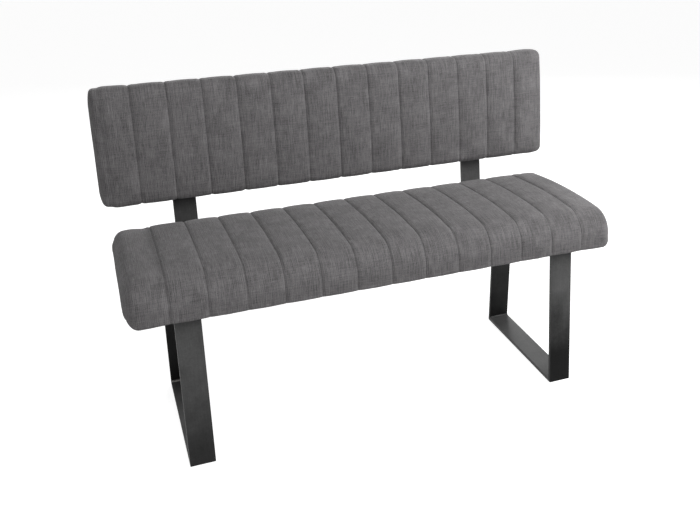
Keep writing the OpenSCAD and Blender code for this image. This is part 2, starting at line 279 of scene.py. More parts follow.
@dataclass(frozen=True)
class SewingThread(Finish):
    """Twisted polyester thread, a little darker than the cloth."""

    slot: str = "quilted_cloth"
    colour: Colour = linear(72, 70, 71)

    def sockets(self, tree: NodeTree) -> dict[str, object]:
        """Shades the thread with its twist.

        Args:
            tree: the material's tree.

        Returns:
            The shader's sockets with what each is linked or set to.
        """
        at = tree.at()
        twist = tree.wave(at, 0.5 * MM, "DIAGONAL")
        fuzz = tree.noise(at, 900)
        return {
            "Base Color": tree.scaled(self.colour, tree.varied(((twist, 0.5), (fuzz, 0.5)))),
            "Roughness": tree.ramp(fuzz, 0.3, 0.7, 0.5, 0.7),
            "Sheen Weight": 0.1,
            "Normal": tree.bump(twist, 0.6, 0.1 * MM),
        }


class Edges(Enum):
    """Where the long edges of a set of bars lie: the lowest and highest distance from the middle."""

    LEG_FRAME = (450 * MM, 510 * MM)
    BACK_SUPPORT = (388.5 * MM, 448.5 * MM)


@dataclass(frozen=True)
class BlackenedSteel(Finish):
    """Flat bar with a cloudy blackened face, darkened towards the floor by painted shade, and rubbed along
    its long edges.
    """

    slot: str = "steel"
    colour: Colour = grey(85)
    rubbed: Colour = grey(96)
    edges: Edges = Edges.LEG_FRAME
    # Painted shade: the heights over which the face is darkened towards the floor, and the share of its
    # colour left at the floor.
    shade_heights: Pair = (0.02, 0.30)
    foot_shade: float = 0.35

    def sockets(self, tree: NodeTree) -> dict[str, object]:
        """Clouds the face, streaks it along the bar, darkens its foot with painted shade and rubs its
        edges.

        Args:
            tree: the material's tree.

        Returns:
            The shader's sockets with what each is linked or set to.
        """
        at = tree.at()
        clouds = tree.noise(at, 14, 4, 0.6)
        specks = tree.noise(at, 240, 3, 0.65)
        drawn = tree.streaks(at, (420, 40, 18))
        place = tree.add("ShaderNodeSeparateXYZ", {0: at})
        across = tree.math("ABSOLUTE", place.outputs[0])
        low, high = self.edges.value
        edge = tree.math("MINIMUM", tree.math("SUBTRACT", across, low), tree.math("SUBTRACT", high, across))
        ragged = tree.math("MULTIPLY_ADD", specks, 1.6 * MM, -0.5 * MM)
        rounded = tree.ramp(edge, 0.02 * MM, 0.15 * MM, 0.0, 1.0)
        bare = tree.ramp(tree.math("SUBTRACT", edge, ragged), 0.0, 0.7 * MM, 0.3, 0.0)
        worn = tree.math("MULTIPLY", rounded, bare)
        height = tree.math("MULTIPLY_ADD", tree.math("SUBTRACT", clouds, 0.5), 0.12, place.outputs[2])
        # Painted shade: the face's colour is darkened towards the floor, with a ragged edge from the
        # clouds.
        foot_shade = tree.ramp(height, self.shade_heights[0], self.shade_heights[1], self.foot_shade, 1.0)
        level = tree.varied(((clouds, 0.9), (specks, 0.45), (drawn, 0.35)))
        face = tree.scaled(self.colour, tree.math("MULTIPLY", level, foot_shade))
        rough = tree.varied(((clouds, 0.5), (specks, 0.3), (drawn, 0.25)))
        relief = tree.math("MULTIPLY_ADD", drawn, 0.5, tree.math("MULTIPLY_ADD", clouds, 2.0, specks))
        return {
            "Base Color": tree.mix(worn, face, rgba(self.rubbed)),
            "Metallic": 0.08,
            "Roughness": tree.math("MULTIPLY", rough, 0.42),
            "Specular IOR Level": 0.07,
            "Normal": tree.bump(relief, 0.25, 0.3 * MM),
        }


@dataclass(frozen=True)
class WeldSteel(Finish):
    """Bead of a weld, brushed more or less bright over its scale; a low brushed share also stands in for
    painted shade.
    """

    slot: str = "steel"
    colour: Colour = linear(128, 127, 125)
    heated: Colour = linear(110, 106, 99)
    crust: Colour = linear(50, 50, 51)
    # Share of the bead brushed bright; a lower share also serves as painted shade.
    brushed_and_shade: float = 0.6

    def sockets(self, tree: NodeTree) -> dict[str, object]:
        """Mixes bright metal with scale and a hint of heat colour.

        Args:
            tree: the material's tree.

        Returns:
            The shader's sockets with what each is linked or set to.
        """
        at = tree.at()
        scale = tree.noise(at, 160, 4, 0.65)
        heat = tree.noise(at, 45, 2)
        bright = tree.mix(tree.ramp(heat, 0.4, 0.7, 0.0, 0.4), rgba(self.colour), rgba(self.heated))
        covered = tree.ramp(scale, self.brushed_and_shade - 0.2, self.brushed_and_shade + 0.1, 0.0, 0.9)
        return {
            "Base Color": tree.mix(covered, bright, rgba(self.crust)),
            "Metallic": 0.6,
            "Roughness": tree.ramp(scale, 0.3, 0.7, 0.3, 0.55),
            "Normal": tree.bump(scale, 0.4, 0.2 * MM),
        }


@dataclass(frozen=True)
class ScrewSteel(Finish):
    """Black-oxide screws and washers with rubbed edges and a film of oil."""

    slot: str = "screw_steel"
    colour: Colour = linear(70, 70, 73)

    def sockets(self, tree: NodeTree) -> dict[str, object]:
        """Spots the oxide and turns fine rings into it.

        Args:
            tree: the material's tree.

        Returns:
            The shader's sockets with what each is linked or set to.
        """
        at = tree.at()
        spots = tree.noise(at, 320, 3, 0.6)
        turned = tree.noise(at, 1400, 2)
        return {
            "Base Color": tree.scaled(self.colour, tree.varied(((spots, 1.1), (turned, 0.4)))),
            "Metallic": 0.9,
            "Roughness": tree.ramp(spots, 0.3, 0.7, 0.28, 0.45),
            "Normal": tree.bump(turned, 0.2, 0.1 * MM),
        }


@dataclass(frozen=True)
class ZincPlate(Finish):
    """Zinc plate with a faint spangle."""

    slot: str = "zinc"
    colour: Colour = linear(172, 174, 178)

    def sockets(self, tree: NodeTree) -> dict[str, object]:
        """Spangles the plate.

        Args:
            tree: the material's tree.

        Returns:
            The shader's sockets with what each is linked or set to.
        """
        at = tree.at()
        spangle = tree.add("ShaderNodeTexVoronoi", {"Vector": at, "Scale": 380.0}).outputs[1]
        flake = tree.add("ShaderNodeRGBToBW", {0: spangle}).outputs[0]
        haze = tree.noise(at, 90, 3)
        return {
            "Base Color": tree.scaled(self.colour, tree.varied(((flake, 0.2), (haze, 0.3)))),
            "Metallic": 1.0,
            "Roughness": tree.ramp(flake, 0.2, 0.8, 0.28, 0.42),
            "Normal": tree.bump(haze, 0.2, 0.1 * MM),
        }


@dataclass(frozen=True)
class StapleSteel(ZincPlate):
    """Galvanised staple wire, duller than the plate."""

    slot: str = "screw_steel"
    colour: Colour = linear(150, 151, 153)


@dataclass(frozen=True)
class Plywood(Finish):
    """Birch plywood: a veined face and glued layers on the edge."""

    slot: str = "plywood"
    face: Colour = linear(208, 178, 136)
    glue: Colour = linear(138, 102, 66)
    layer: float = 1.5 * MM

    def sockets(self, tree: NodeTree) -> dict[str, object]:
        """Veins the face along the board and stripes the edge.

        Args:
            tree: the material's tree.

        Returns:
            The shader's sockets with what each is linked or set to.
        """
        at = tree.at()
        veins = tree.streaks(at, (9, 260, 260), 4)
        rings = tree.noise(at, 7, 3)
        plies = tree.wave(at, 2 * self.layer, "Z", 0.3)
        wood = tree.mix(tree.ramp(veins, 0.35, 0.7, 0.0, 0.7), rgba(self.face), rgba(self.glue, 1.3))
        return {
            "Base Color": tree.mix(tree.ramp(plies, 0.75, 0.95, 0.0, 0.35), wood, rgba(self.glue)),
            "Roughness": tree.ramp(rings, 0.3, 0.7, 0.6, 0.75),
            "Normal": tree.bump(veins, 0.3, 0.2 * MM),
        }


@dataclass(frozen=True)
class CushionFoam(Finish):
    """Open-cell foam."""

    slot: str = "foam"
    colour: Colour = linear(226, 216, 186)

    def sockets(self, tree: NodeTree) -> dict[str, object]:
        """Pits the foam with its cells and yellows it a little unevenly.

        Args:
            tree: the material's tree.

        Returns:
            The shader's sockets with what each is linked or set to.
        """
        at = tree.at()
        cells = tree.add("ShaderNodeTexVoronoi", {"Vector": at, "Scale": 700.0}).outputs[0]
        age = tree.noise(at, 12, 3)
        pores = tree.ramp(cells, 0.1, 0.6, 0.8, 1.1)
        aged = tree.varied(((age, 0.2),))
        return {
            "Base Color": tree.scaled(self.colour, tree.math("MULTIPLY", pores, aged)),
            "Roughness": tree.ramp(age, 0.3, 0.7, 0.85, 0.95),
            "Normal": tree.bump(cells, 0.8, 0.4 * MM),
        }


@dataclass(frozen=True)
class BottomCloth(Finish):
    """Black non-woven cloth with its pressed dots."""

    slot: str = "bottom_cloth"
    colour: Colour = linear(38, 38, 40)
    dot_pitch: float = 2.2 * MM

    def sockets(self, tree: NodeTree) -> dict[str, object]:
        """Presses the dots and scatters the fibres.

        Args:
            tree: the material's tree.

        Returns:
            The shader's sockets with what each is linked or set to.
        """
        cloth = tree.add("ShaderNodeUVMap", uv_map=CLOTH_MAP).outputs[0]
        across = tree.wave(cloth, self.dot_pitch, "X", 0.2)
        along = tree.wave(cloth, self.dot_pitch, "Y", 0.2)
        dots = tree.ramp(tree.math("MULTIPLY", across, along), 0.5, 0.8, 0.0, 1.0)
        fibres = tree.noise(cloth, 700, 4, 0.7)
        dust = tree.noise(cloth, 9, 4, 0.6)
        level = tree.varied(((fibres, 0.9), (dust, 0.5)))
        colour = tree.scaled(self.colour, tree.math("MULTIPLY_ADD", dots, -0.35, level))
        return {
            "Base Color": colour,
            "Roughness": tree.ramp(fibres, 0.3, 0.7, 0.75, 0.9),
            "Sheen Weight": 0.05,
            "Normal": tree.bump(tree.math("MULTIPLY_ADD", fibres, 0.5, dots), 0.4, -0.2 * MM),
        }


def finished(piece: Piece, finish: Finish) -> None:
    """Gives a piece its slot, its body and its material.

    Args:
        piece: the piece.
        finish: its finish.
    """
    piece.data.materials.clear()
    piece.data.materials.append(finish.make())
    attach(piece, BODY)


def added(name: str, data: bpy.types.ID) -> Piece:
    """A new object of the scene, at the origin.

    Args:
        name: the object's name.
        data: its mesh, light or camera.

    Returns:
        The object.
    """
    thing = bpy.data.objects.new(name, data)
    bpy.context.scene.collection.objects.link(thing)
    return thing


def smooth(mesh: bpy.types.Mesh) -> None:
    """Makes a mesh's faces smooth."""
    mesh.polygons.foreach_set("use_smooth", [True] * len(mesh.polygons))


def mesh_object(name: str, points: np.ndarray, faces: Sequence[Sequence[int]]) -> Piece:
    """A smooth mesh object at the origin.

    Args:
        name: the piece's name.
        points: its points, n by 3.
        faces: its faces, outwards.

    Returns:
        The object.
    """
    mesh = bpy.data.meshes.new(name)
    mesh.from_pydata(points.tolist(), [], [list(face) for face in faces])
    mesh.update()
    smooth(mesh)
    return added(name, mesh)


def loop_points(mesh: bpy.types.Mesh) -> np.ndarray:
    """The point number of each corner of a mesh's faces.

    Args:
        mesh: the mesh.

    Returns:
        One point number for each corner.
    """
    spots = np.zeros(len(mesh.loops), int)
    mesh.loops.foreach_get("vertex_index", spots)
    return spots


def lay_cloth_map(mesh: bpy.types.Mesh, places: np.ndarray) -> None:
    """Gives a mesh the map its weave follows: a place in metres for each corner of its faces."""
    layer = mesh.uv_layers.new(name=CLOTH_MAP)
    layer.data.foreach_set("uv", places.ravel())


def spline_rows(table: np.ndarray, at: np.ndarray) -> np.ndarray:
    """A table's rows at fractional row numbers, on smooth curves through the rows.

    Args:
        table: rows of any shape.
        at: the row numbers.

    Returns:
        One row for each number.
    """
    at = np.clip(at, 0, len(table) - 1.000001)
    whole = np.floor(at).astype(int)
    part = (at - whole).reshape((-1,) + (1,) * (table.ndim - 1))
    a, b, c, d = (table[np.clip(whole + k, 0, len(table) - 1)] for k in (-1, 0, 1, 2))
    return b + 0.5 * part * (c - a + part * (2 * a - 5 * b + 4 * c - d + part * (3 * (b - c) + d - a)))


def smooth_noise(rng: np.random.Generator, along: np.ndarray, across: np.ndarray,
                 cell: Pair) -> np.ndarray:
    """Smooth noise from about -1 to 1 over a grid.

    Args:
        rng: the seeded source.
        along: places of the grid's rows.
        across: places of its columns.
        cell: the size of one lump along and across.

    Returns:
        A table of rows by columns.
    """
    rows = (along - along.min()) / cell[0]
    columns = (across - across.min()) / cell[1]
    lumps = rng.uniform(-1, 1, (int(rows.max()) + 3, int(columns.max()) + 3))
    return spline_rows(spline_rows(lumps, rows).T, columns).T


class GeometryTool:
    """A geometry node tree that lays one shape along lines and is turned into plain mesh."""

    def __init__(self, name: str, inputs: Mapping[str, float]) -> None:
        """Starts a tree.

        Args:
            name: the tree's name.
            inputs: the first value of each number that it takes, by name; Pitch is one of them.
        """
        self.group = bpy.data.node_groups.new(name, "GeometryNodeTree")
        self.names: dict[str, str] = {}
        sockets = self.group.interface
        sockets.new_socket("Geometry", in_out="INPUT", socket_type="NodeSocketGeometry")
        for label, value in inputs.items():
            socket = sockets.new_socket(label, in_out="INPUT", socket_type="NodeSocketFloat")
            socket.default_value = value
            self.names[label] = socket.identifier
        sockets.new_socket("Geometry", in_out="OUTPUT", socket_type="NodeSocketGeometry")
        self.tree = NodeTree(self.group)
        self.source = self.tree.add("NodeGroupInput")

    def input(self, label: str) -> Socket:
        """The socket of a named input."""
        return self.source.outputs[label]

    def spread(self, label: str, seed: int, middle: float) -> Socket:
        """A random number for each copy; its range is a named input.

        Args:
            label: the input's name.
            seed: the numbers' seed.
            middle: the middle of their range.

        Returns:
            The number's socket.
        """
        random = self.tree.add("FunctionNodeRandomValue", {"Seed": seed}, data_type="FLOAT")
        offset = self.tree.math("SUBTRACT", random.outputs[1], 0.5)
        return self.tree.math("MULTIPLY_ADD", offset, self.input(label), middle)

    def along_line(self, axis: str) -> bpy.types.Node:
        """The rotation that turns an axis into the lines' direction."""
        tangent = self.tree.add("GeometryNodeInputTangent")
        return self.tree.add("FunctionNodeAlignRotationToVector", {"Vector": tangent}, axis=axis)

    def lay(self, shape: bpy.types.Node, **values: object) -> None:
        """Ends the tree: a copy of the shape lies at every pitch of the lines.

        Args:
            shape: the shape.
            values: the copies' Rotation or Scale.
        """
        curve = self.tree.add("GeometryNodeMeshToCurve", {0: self.input("Geometry")})
        length = {"Curve": curve, "Length": self.input("Pitch")}
        spaced = self.tree.add("GeometryNodeResampleCurve", length, mode="LENGTH")
        copies = {"Points": spaced, "Instance": shape, **values}
        laid = self.tree.add("GeometryNodeInstanceOnPoints", copies)
        self.tree.add("NodeGroupOutput", {0: self.tree.add("GeometryNodeRealizeInstances", {0: laid})})

    def run(self, name: str, points: np.ndarray, edges: Sequence[tuple[int, int]], finish: Finish,
            values: Mapping[str, float] | None = None) -> Piece:
        """Runs the tree on lines.

        Args:
            name: the piece's name.
            points: the lines' points.
            edges: the lines' edges.
            finish: the piece's finish.
            values: inputs that differ from their first values, by name.

        Returns:
            The finished piece, a plain mesh.
        """
        lines = bpy.data.meshes.new(name + "_lines")
        lines.from_pydata(points.tolist(), [tuple(edge) for edge in edges], [])
        carrier = added(name + "_lines", lines)
        modifier = carrier.modifiers.new("repeat", "NODES")
        modifier.node_group = self.group
        for label, value in (values or {}).items():
            modifier[self.names[label]] = value
        graph = bpy.context.evaluated_depsgraph_get()
        mesh = bpy.data.meshes.new_from_object(carrier.evaluated_get(graph))
        mesh.name = name
        bpy.data.objects.remove(carrier)
        bpy.data.meshes.remove(lines)
        smooth(mesh)
        piece = added(name, mesh)
        finished(piece, finish)
        return piece


def stitch_tool() -> GeometryTool:
    """The tree that lays one small capsule of thread on every stitch of a line.

    Returns:
        The tree, ready to run on lines.
    """
    tool = GeometryTool("stitches", {
        "Pitch": 4 * MM, "Length": 3.2 * MM, "Radius": 0.4 * MM, "Unevenness": 0.12})
    tree = tool.tree
    radius = tool.input("Radius")
    thread = tree.add("GeometryNodeMeshUVSphere", {"Segments": 6, "Rings": 5, "Radius": radius})
    half = tree.math("DIVIDE", tool.input("Length"), 2.0)
    scale = tree.add("ShaderNodeCombineXYZ", {0: 1.0, 1: 1.0, 2: tree.math("DIVIDE", half, radius)})
    capsule = tree.add("GeometryNodeTransform", {"Geometry": thread, "Scale": scale})
    tool.lay(capsule, Rotation=tool.along_line("Z"), Scale=tool.spread("Unevenness", 11, 1.0))
    return tool


def staple_tool() -> GeometryTool:
    """The tree that drives staples along lines, each a little aslant of its line.

    Returns:
        The tree, ready to run on lines.
    """
    tool = GeometryTool("staples", {
        "Pitch": 38 * MM, "Crown": 10 * MM, "Wire": 0.9 * MM, "Leg": 1.4 * MM, "Slant": 0.35})
    tree = tool.tree
    right = tree.math("DIVIDE", tool.input("Crown"), 2.0)
    left = tree.math("MULTIPLY", right, -1.0)
    leg = tool.input("Leg")
    bends = ((left, leg), (left, 0.0), (right, 0.0), (right, leg))
    spots = [tree.add("ShaderNodeCombineXYZ", {0: x, 2: z}) for x, z in bends]
    wires = tree.add("GeometryNodeJoinGeometry")
    for start, end in zip(spots, spots[1:]):
        wire = tree.add("GeometryNodeCurvePrimitiveLine", {0: start, 1: end})
        tree.tree.links.new(wire.outputs[0], wires.inputs[0])
    flat = tree.math("MULTIPLY", tool.input("Wire"), 0.7)
    sides = {"Width": tool.input("Wire"), "Height": flat}
    section = tree.add("GeometryNodeCurvePrimitiveQuadrilateral", sides)
    staple = tree.add("GeometryNodeCurveToMesh", {0: wires, 1: section, "Fill Caps": True})
    slant = tree.add("ShaderNodeCombineXYZ", {2: tool.spread("Slant", 5, 0.0)})
    spin = tree.add("FunctionNodeEulerToRotation", {0: slant})
    turns = {0: tool.along_line("X"), 1: spin}
    tool.lay(staple, Rotation=tree.add("FunctionNodeRotateRotation", turns, rotation_space="LOCAL"))
    return tool


def weld_tool() -> GeometryTool:
    """The tree that lays overlapping ripples of weld metal along lines.

    Returns:
        The tree, ready to run on lines.
    """
    tool = GeometryTool("weld_ripples", {
        "Pitch": 2.0 * MM, "Radius": 5.2 * MM, "Ripple": 2.6 * MM, "Unevenness": 0.14})
    tree = tool.tree
    radius = tool.input("Radius")
    ball = tree.add("GeometryNodeMeshUVSphere", {"Segments": 14, "Rings": 8, "Radius": 1.0})
    size = tree.add("ShaderNodeCombineXYZ", {0: tool.input("Ripple"), 1: radius, 2: radius})
    leaning = {"Geometry": ball, "Rotation": (0.0, 0.3, 0.0), "Scale": size}
    tool.lay(tree.add("GeometryNodeTransform", leaning), Scale=tool.spread("Unevenness", 3, 1.0))
    return tool


@dataclass(frozen=True)
class CushionForm:
    """The size and section of a cushion; u runs across it, v from its base to its crown.

    The section is walked in coarse steps of about one length: up the hem, the base's radius, the side and
    the top corner at the first edge, over the crown, and down the same at the second edge.
    """

    length: float
    depth: float
    thickness: float
    first_radius: float
    second_radius: float
    first_base: float
    second_base: float
    end_radius: float
    crest: float
    first_fall: float
    second_fall: float
    end_fall: float
    hem: float = 35 * MM
    recess: float = 2.4 * MM
    end_crown: float = 5 * MM
    end_tuck: Pair = (12.5 * MM, 16 * MM)
    valley: Pair = (0.0, 0.0)
    squared: float = 0.0
    least_radius: float = 2 * MM
    step: float = 5.4 * MM
    hem_steps: int = 4
    base_steps: int = 3
    under_steps: int = 8

    def crown(self, u: float | np.ndarray) -> np.ndarray:
        """Height of the crown at u.

        Args:
            u: one place or many across the cushion.

        Returns:
            The height there.
        """
        from_u, to_u = self.first_radius, self.depth - self.second_radius
        first = self.first_fall * ((self.crest - u) / (self.crest - from_u)) ** 2
        second = self.second_fall * ((u - self.crest) / (to_u - self.crest)) ** 2
        return self.thickness - np.where(u < self.crest, first, second)

    def ring(self, inset: float, fine: int) -> np.ndarray:
        """The closed section moved inwards.

        Args:
            inset: how far it is moved inwards.
            fine: points to each coarse step.

        Returns:
            Points (u, v), the same number for every inset; the first lies at the front hem's inner edge.
        """
        first, second = (max(r - inset, self.least_radius) for r in (self.first_radius, self.second_radius))
        low, high = (max(r - inset, self.least_radius) for r in (self.first_base, self.second_base))
        from_v = float(self.crown(np.array(self.first_radius))) - inset
        to_v = float(self.crown(np.array(self.depth - self.second_radius))) - inset
        front, rear = inset, self.depth - inset
        hem_front, hem_rear = front + low + self.hem, rear - high - self.hem
        parts = [
            line((hem_front, inset), (front + low, inset), self.hem_steps * fine),
            arc((front + low, inset + low), low, 270, 180, self.base_steps * fine),
            line((front, inset + low), (front, from_v - first), self.side_steps(self.first_radius) * fine),
            arc((front + first, from_v - first), first, 180, 90, self.arc_steps(self.first_radius) * fine),
            self.top(front + first, rear - second, inset, fine),
            arc((rear - second, to_v - second), second, 90, 0, self.arc_steps(self.second_radius) * fine),
            line((rear, to_v - second), (rear, inset + high), self.side_steps(self.second_radius) * fine),
            arc((rear - high, inset + high), high, 0, -90, self.base_steps * fine),
            line((rear - high, inset), (hem_rear, inset), self.hem_steps * fine),
            line((hem_rear, inset), (hem_front, inset), self.under_steps * fine),
        ]
        return np.concatenate(parts)

    def top(self, from_u: float, to_u: float, inset: float, fine: int) -> np.ndarray:
        """The crown's stretch of a ring.

        Args:
            from_u: its first u.
            to_u: its last u.
            inset: how far it is moved inwards.
            fine: points to each coarse step.

        Returns:
            Points (u, v).
        """
        count = self.crown_steps() * fine
        share = np.arange(count) / count
        straight = self.first_radius + (self.depth - self.first_radius - self.second_radius) * share
        return np.stack([from_u + (to_u - from_u) * share, self.crown(straight) - inset], 1)

    def crown_steps(self) -> int:
        """Coarse steps over the crown."""
        return round((self.depth - self.first_radius - self.second_radius) / self.step)

    def side_steps(self, radius: float) -> int:
        """Coarse steps up a straight side."""
        return max(round((self.thickness - radius - self.first_base) / self.step), 2)

    def arc_steps(self, radius: float) -> int:
        """Coarse steps round a top corner."""
        return max(round(radius * math.pi / 2 / self.step), 4)

    def sewn_share(self, fine: int) -> np.ndarray:
        """Share of the seams' depth round a ring: none under the base, all from the sides up.

        Args:
            fine: points to each coarse step.

        Returns:
            One share, from 0 to 1, for each point of a ring.
        """
        sides = [self.side_steps(r) for r in (self.first_radius, self.second_radius)]
        arcs = [self.arc_steps(r) for r in (self.first_radius, self.second_radius)]
        upper = (sum(sides) + sum(arcs) + self.crown_steps()) * fine
        rise = np.linspace(0, 1, self.base_steps * fine, endpoint=False)
        under = np.zeros((self.hem_steps + self.under_steps) * fine)
        return np.concatenate([np.zeros(self.hem_steps * fine), rise, np.ones(upper), 1 - rise, under])


def line(start: Pair, end: Pair, steps: int) -> np.ndarray:
    """Points from start up to but not including end."""
    share = (np.arange(steps) / steps)[:, None]
    return np.array(start) * (1 - share) + np.array(end) * share


def arc(middle: Pair, radius: float, start: float, end: float, steps: int) -> np.ndarray:
    """Points round an arc, in degrees, up to but not including its end."""
    angle = np.radians(start + (end - start) * np.arange(steps) / steps)
    return np.stack([middle[0] + radius * np.cos(angle), middle[1] + radius * np.sin(angle)], 1)


@dataclass
class QuiltedCushion:
    """A cushion whose cover is sewn in channels and filled out by a cloth simulation.

    A path is a place along the cushion, measured from its middle over the cover and down the end face.
    A coarse grid over the paths is simulated; a finer one, closer at the seams, gets the result and the
    quilting's relief. Each reach is how far from a seam a form begins, and over what distance it fades.
    Each cell is the size of one lump of noise along the path and round the cushion.
    """

    name: str
    cover_node: str
    foam_node: str
    form: CushionForm
    place: Matrix
    seed: int
    channels: int = 14
    end_turn: float = 10 * MM
    slack: float = 0.006
    calming: int = 6
    firming: float = 1.8
    bulge: float = 1.6 * MM
    end_hold: float = 0.9
    ripple: float = 0.12
    fullness: float = 0.7
    eased: float = 0.4
    pad: float = 5.2 * MM
    pressure: float = 4.0
    frames: int = 20
    cap: float = 6.0 * MM
    shoulder: float = 13 * MM
    rise: float = 2.4 * MM
    groove: Pair = (4 * MM, 1.1 * MM)
    pucker: float = 0.5 * MM
    pucker_cell: Pair = (26 * MM, 7.5 * MM)
    pucker_reach: Pair = (1.5 * MM, 9 * MM)
    crease_share: float = 0.9
    crease_cell: Pair = (34 * MM, 17 * MM)
    crease_reach: Pair = (3 * MM, 22 * MM)
    lump: float = 0.35 * MM
    lump_cell: Pair = (75 * MM, 60 * MM)
    edge_bulge: float = 1.6 * MM
    edge_roundness: float = 0.6
    seam_unevenness: float = 0.12
    seam_rhythm: float = 2.4
    seam_clearance: float = 2 * MM
    wrap_step: float = 5 * MM
    thread_lift: float = 0.25 * MM
    thread_from: float = 0.3
    fold: float = 1.35 * MM
    seam_folds: int = 2
    fold_strength: Pair = (0.2, 1.0)
    fold_offset: float = 2 * MM
    fold_start: Pair = (-35 * MM, 70 * MM)
    fold_length: Pair = (25 * MM, 50 * MM)
    fold_slant: float = 11 * MM
    fold_width: Pair = (2.2 * MM, 2.4 * MM)
    valley_inset: float = 23 * MM
    valley_width: float = 9 * MM
    quilt: float = 14 * MM
    foam_base: float = 17 * MM
    foam_end: float = 16 * MM
    coarse_columns: int = 12
    first_angle: float = math.radians(15)
    cap_steps: int = 7
    end_step: float = 3.6 * MM
    end_height: float = 0.92
    end_flatness: float = 0.12
    end_closing: float = 0.94
    tuck_roundness: float = 0.96
    pitch: float = field(init=False)
    seams: np.ndarray = field(init=False)
    rng: np.random.Generator = field(init=False)

    SPACING: ClassVar[Sequence[float]] = (0, 0.7, 1.5, 2.5, 3.8, 5.4, 7.4, 10.2, 14.4, 20.6, 28.2, 36.2)
    FOAM_ENDS: ClassVar[Sequence[Pair]] = ((0.0, 6 * MM), (2 * MM, 2 * MM), (6 * MM, 0.0))

    def __post_init__(self) -> None:
        """Places the seams and seeds the noise."""
        self.pitch = (self.form.length - 2 * self.end_turn) / self.channels
        self.seams = (np.arange(1, self.channels) - self.channels / 2) * self.pitch
        self.rng = np.random.default_rng(self.seed)

    @property
    def straight(self) -> float:
        """Half the length between the rounded ends."""
        return self.form.length / 2 - self.form.end_radius - self.pad

    @property
    def turned(self) -> float:
        """Path along the top from the middle to the end of the rounding."""
        return self.straight + self.form.end_radius * (math.pi / 2 - self.first_angle)

    @property
    def reach(self) -> float:
        """Path along the top from the middle to the middle of the end face."""
        return self.turned + self.cap_steps * self.pitch / self.coarse_columns

    def coarse_paths(self) -> np.ndarray:
        """Places of the simulation's columns along the path over the cushion.

        Returns:
            Evenly spaced paths.
        """
        step = self.pitch / self.coarse_columns
        count = math.ceil(self.reach / step)
        return np.arange(-count, count + 1) * step * (self.reach / (count * step))

    def fine_paths(self) -> np.ndarray:
        """Places of the finished columns: close together at the seams, wide between them.

        Returns:
            Rising paths.
        """
        spaced = np.array(self.SPACING) * MM
        spaced = spaced[spaced < self.pitch / 2 - self.seam_clearance]
        near = np.concatenate([-spaced[:0:-1], spaced])
        paths = [seam + near for seam in self.seams]
        paths.append(np.arange(-self.channels // 2, self.channels // 2) * self.pitch + self.pitch / 2)
        inner = np.sort(np.concatenate(paths))
        last = self.seams[-1] + near[-1]
        inner = inner[np.abs(inner) <= last + 1e-9]
        outer = np.linspace(last, self.reach, round((self.reach - last) / self.end_step) + 1)[1:]
        return np.concatenate([-outer[::-1], inner, outer])

    def grid(self, paths: np.ndarray, fine: int, pad: float) -> np.ndarray:
        """The smooth cushion as a grid of rings, in its own frame.

        Args:
            paths: places of the rings along the path over the cushion.
            fine: points to each coarse step round a ring.
            pad: how far the sides and the crown are moved inwards.

        Returns:
            Points, rings by points by (x, u, v).
        """
        form = self.form
        share = form.sewn_share(fine)[:, None]
        rings = []
        base = form.ring(0.0, fine)
        medial = self.medial(base)
        for path in paths:
            x, inset, capped = self.station(abs(path))
            outer = form.ring(inset, fine)
            inner = form.ring(inset + pad, fine)
            ring = outer + (inner - outer) * share
            upper = np.clip(2 * outer[:, 0] / form.depth - 1, 0, 1)
            ring[:, 0] += form.squared * inset * upper ** 0.5
            ring = ring + (medial - ring) * capped
            ring = ring * [1.0, self.end_share(x)]
            ring[:, 1] += self.hem_rise(abs(path), len(ring), fine)
            end = min(max(abs(path) - self.straight, 0.0) / form.end_radius, 1.0)
            tuck = form.end_tuck[int(path > 0)]
            low = np.clip(1 - ring[:, 1] / tuck, 0, 1)
            drawn = x - tuck * end * (1 - np.sqrt(1 - self.tuck_roundness * low ** 2))
            rings.append(np.column_stack([math.copysign(1, path) * drawn, ring]))
        return np.array(rings)

    def medial(self, ring: np.ndarray) -> np.ndarray:
        """The flat ring in the middle of an end face, towards which the face closes.

        Args:
            ring: the cushion's full ring, points (u, v).

        Returns:
            As many points (u, v).
        """
        half = self.form.thickness / 2
        u = np.clip(ring[:, 0], half, self.form.depth - half)
        return np.stack([u, half * self.end_height + (ring[:, 1] - half) * self.end_flatness], 1)

    def station(self, path: float) -> tuple[float, float, float]:
        """Where a ring stands.

        Args:
            path: its distance from the middle along the path over the cushion.

        Returns:
            Its x, its inset, and how far it has closed over the end face, from 0 to 1.
        """
        form = self.form
        if path <= self.straight:
            return path, 0.0, 0.0
        angle = max(math.pi / 2 - (path - self.straight) / form.end_radius, self.first_angle)
        rounded = form.end_radius - form.end_crown
        x = self.straight + rounded * math.cos(angle) / math.cos(self.first_angle)
        closed = min(max((path - self.turned) / (self.reach - self.turned), 0.0), 1.0)
        x += form.end_crown * (1 - (1 - closed) ** 2)
        return x, form.end_radius * (1 - math.sin(angle)), closed * self.end_closing

    def end_share(self, x: float) -> float:
        """Share of the thickness that is left at x, where the end channels fall.

        Args:
            x: distance from the cushion's middle.

        Returns:
            The share, 1 at most.
        """
        seam = self.seams[-1]
        past = max(x - seam, 0.0) / (self.form.length / 2 - seam)
        return 1 - self.form.end_fall / self.form.thickness * past ** 2

    def hem_rise(self, path: float, points: int, fine: int) -> np.ndarray:
        """Rise of the underside inside the hem, where the closing cloth lies.

        Args:
            path: the ring's distance from the middle.
            points: points round the ring.
            fine: points to each coarse step.

        Returns:
            One rise for each point.
        """
        rise = np.zeros(points)
        inside = self.form.length / 2 - self.form.end_radius - self.form.hem
        if path < inside:
            rise[points - self.form.under_steps * fine + 1:] = self.form.recess
        return rise

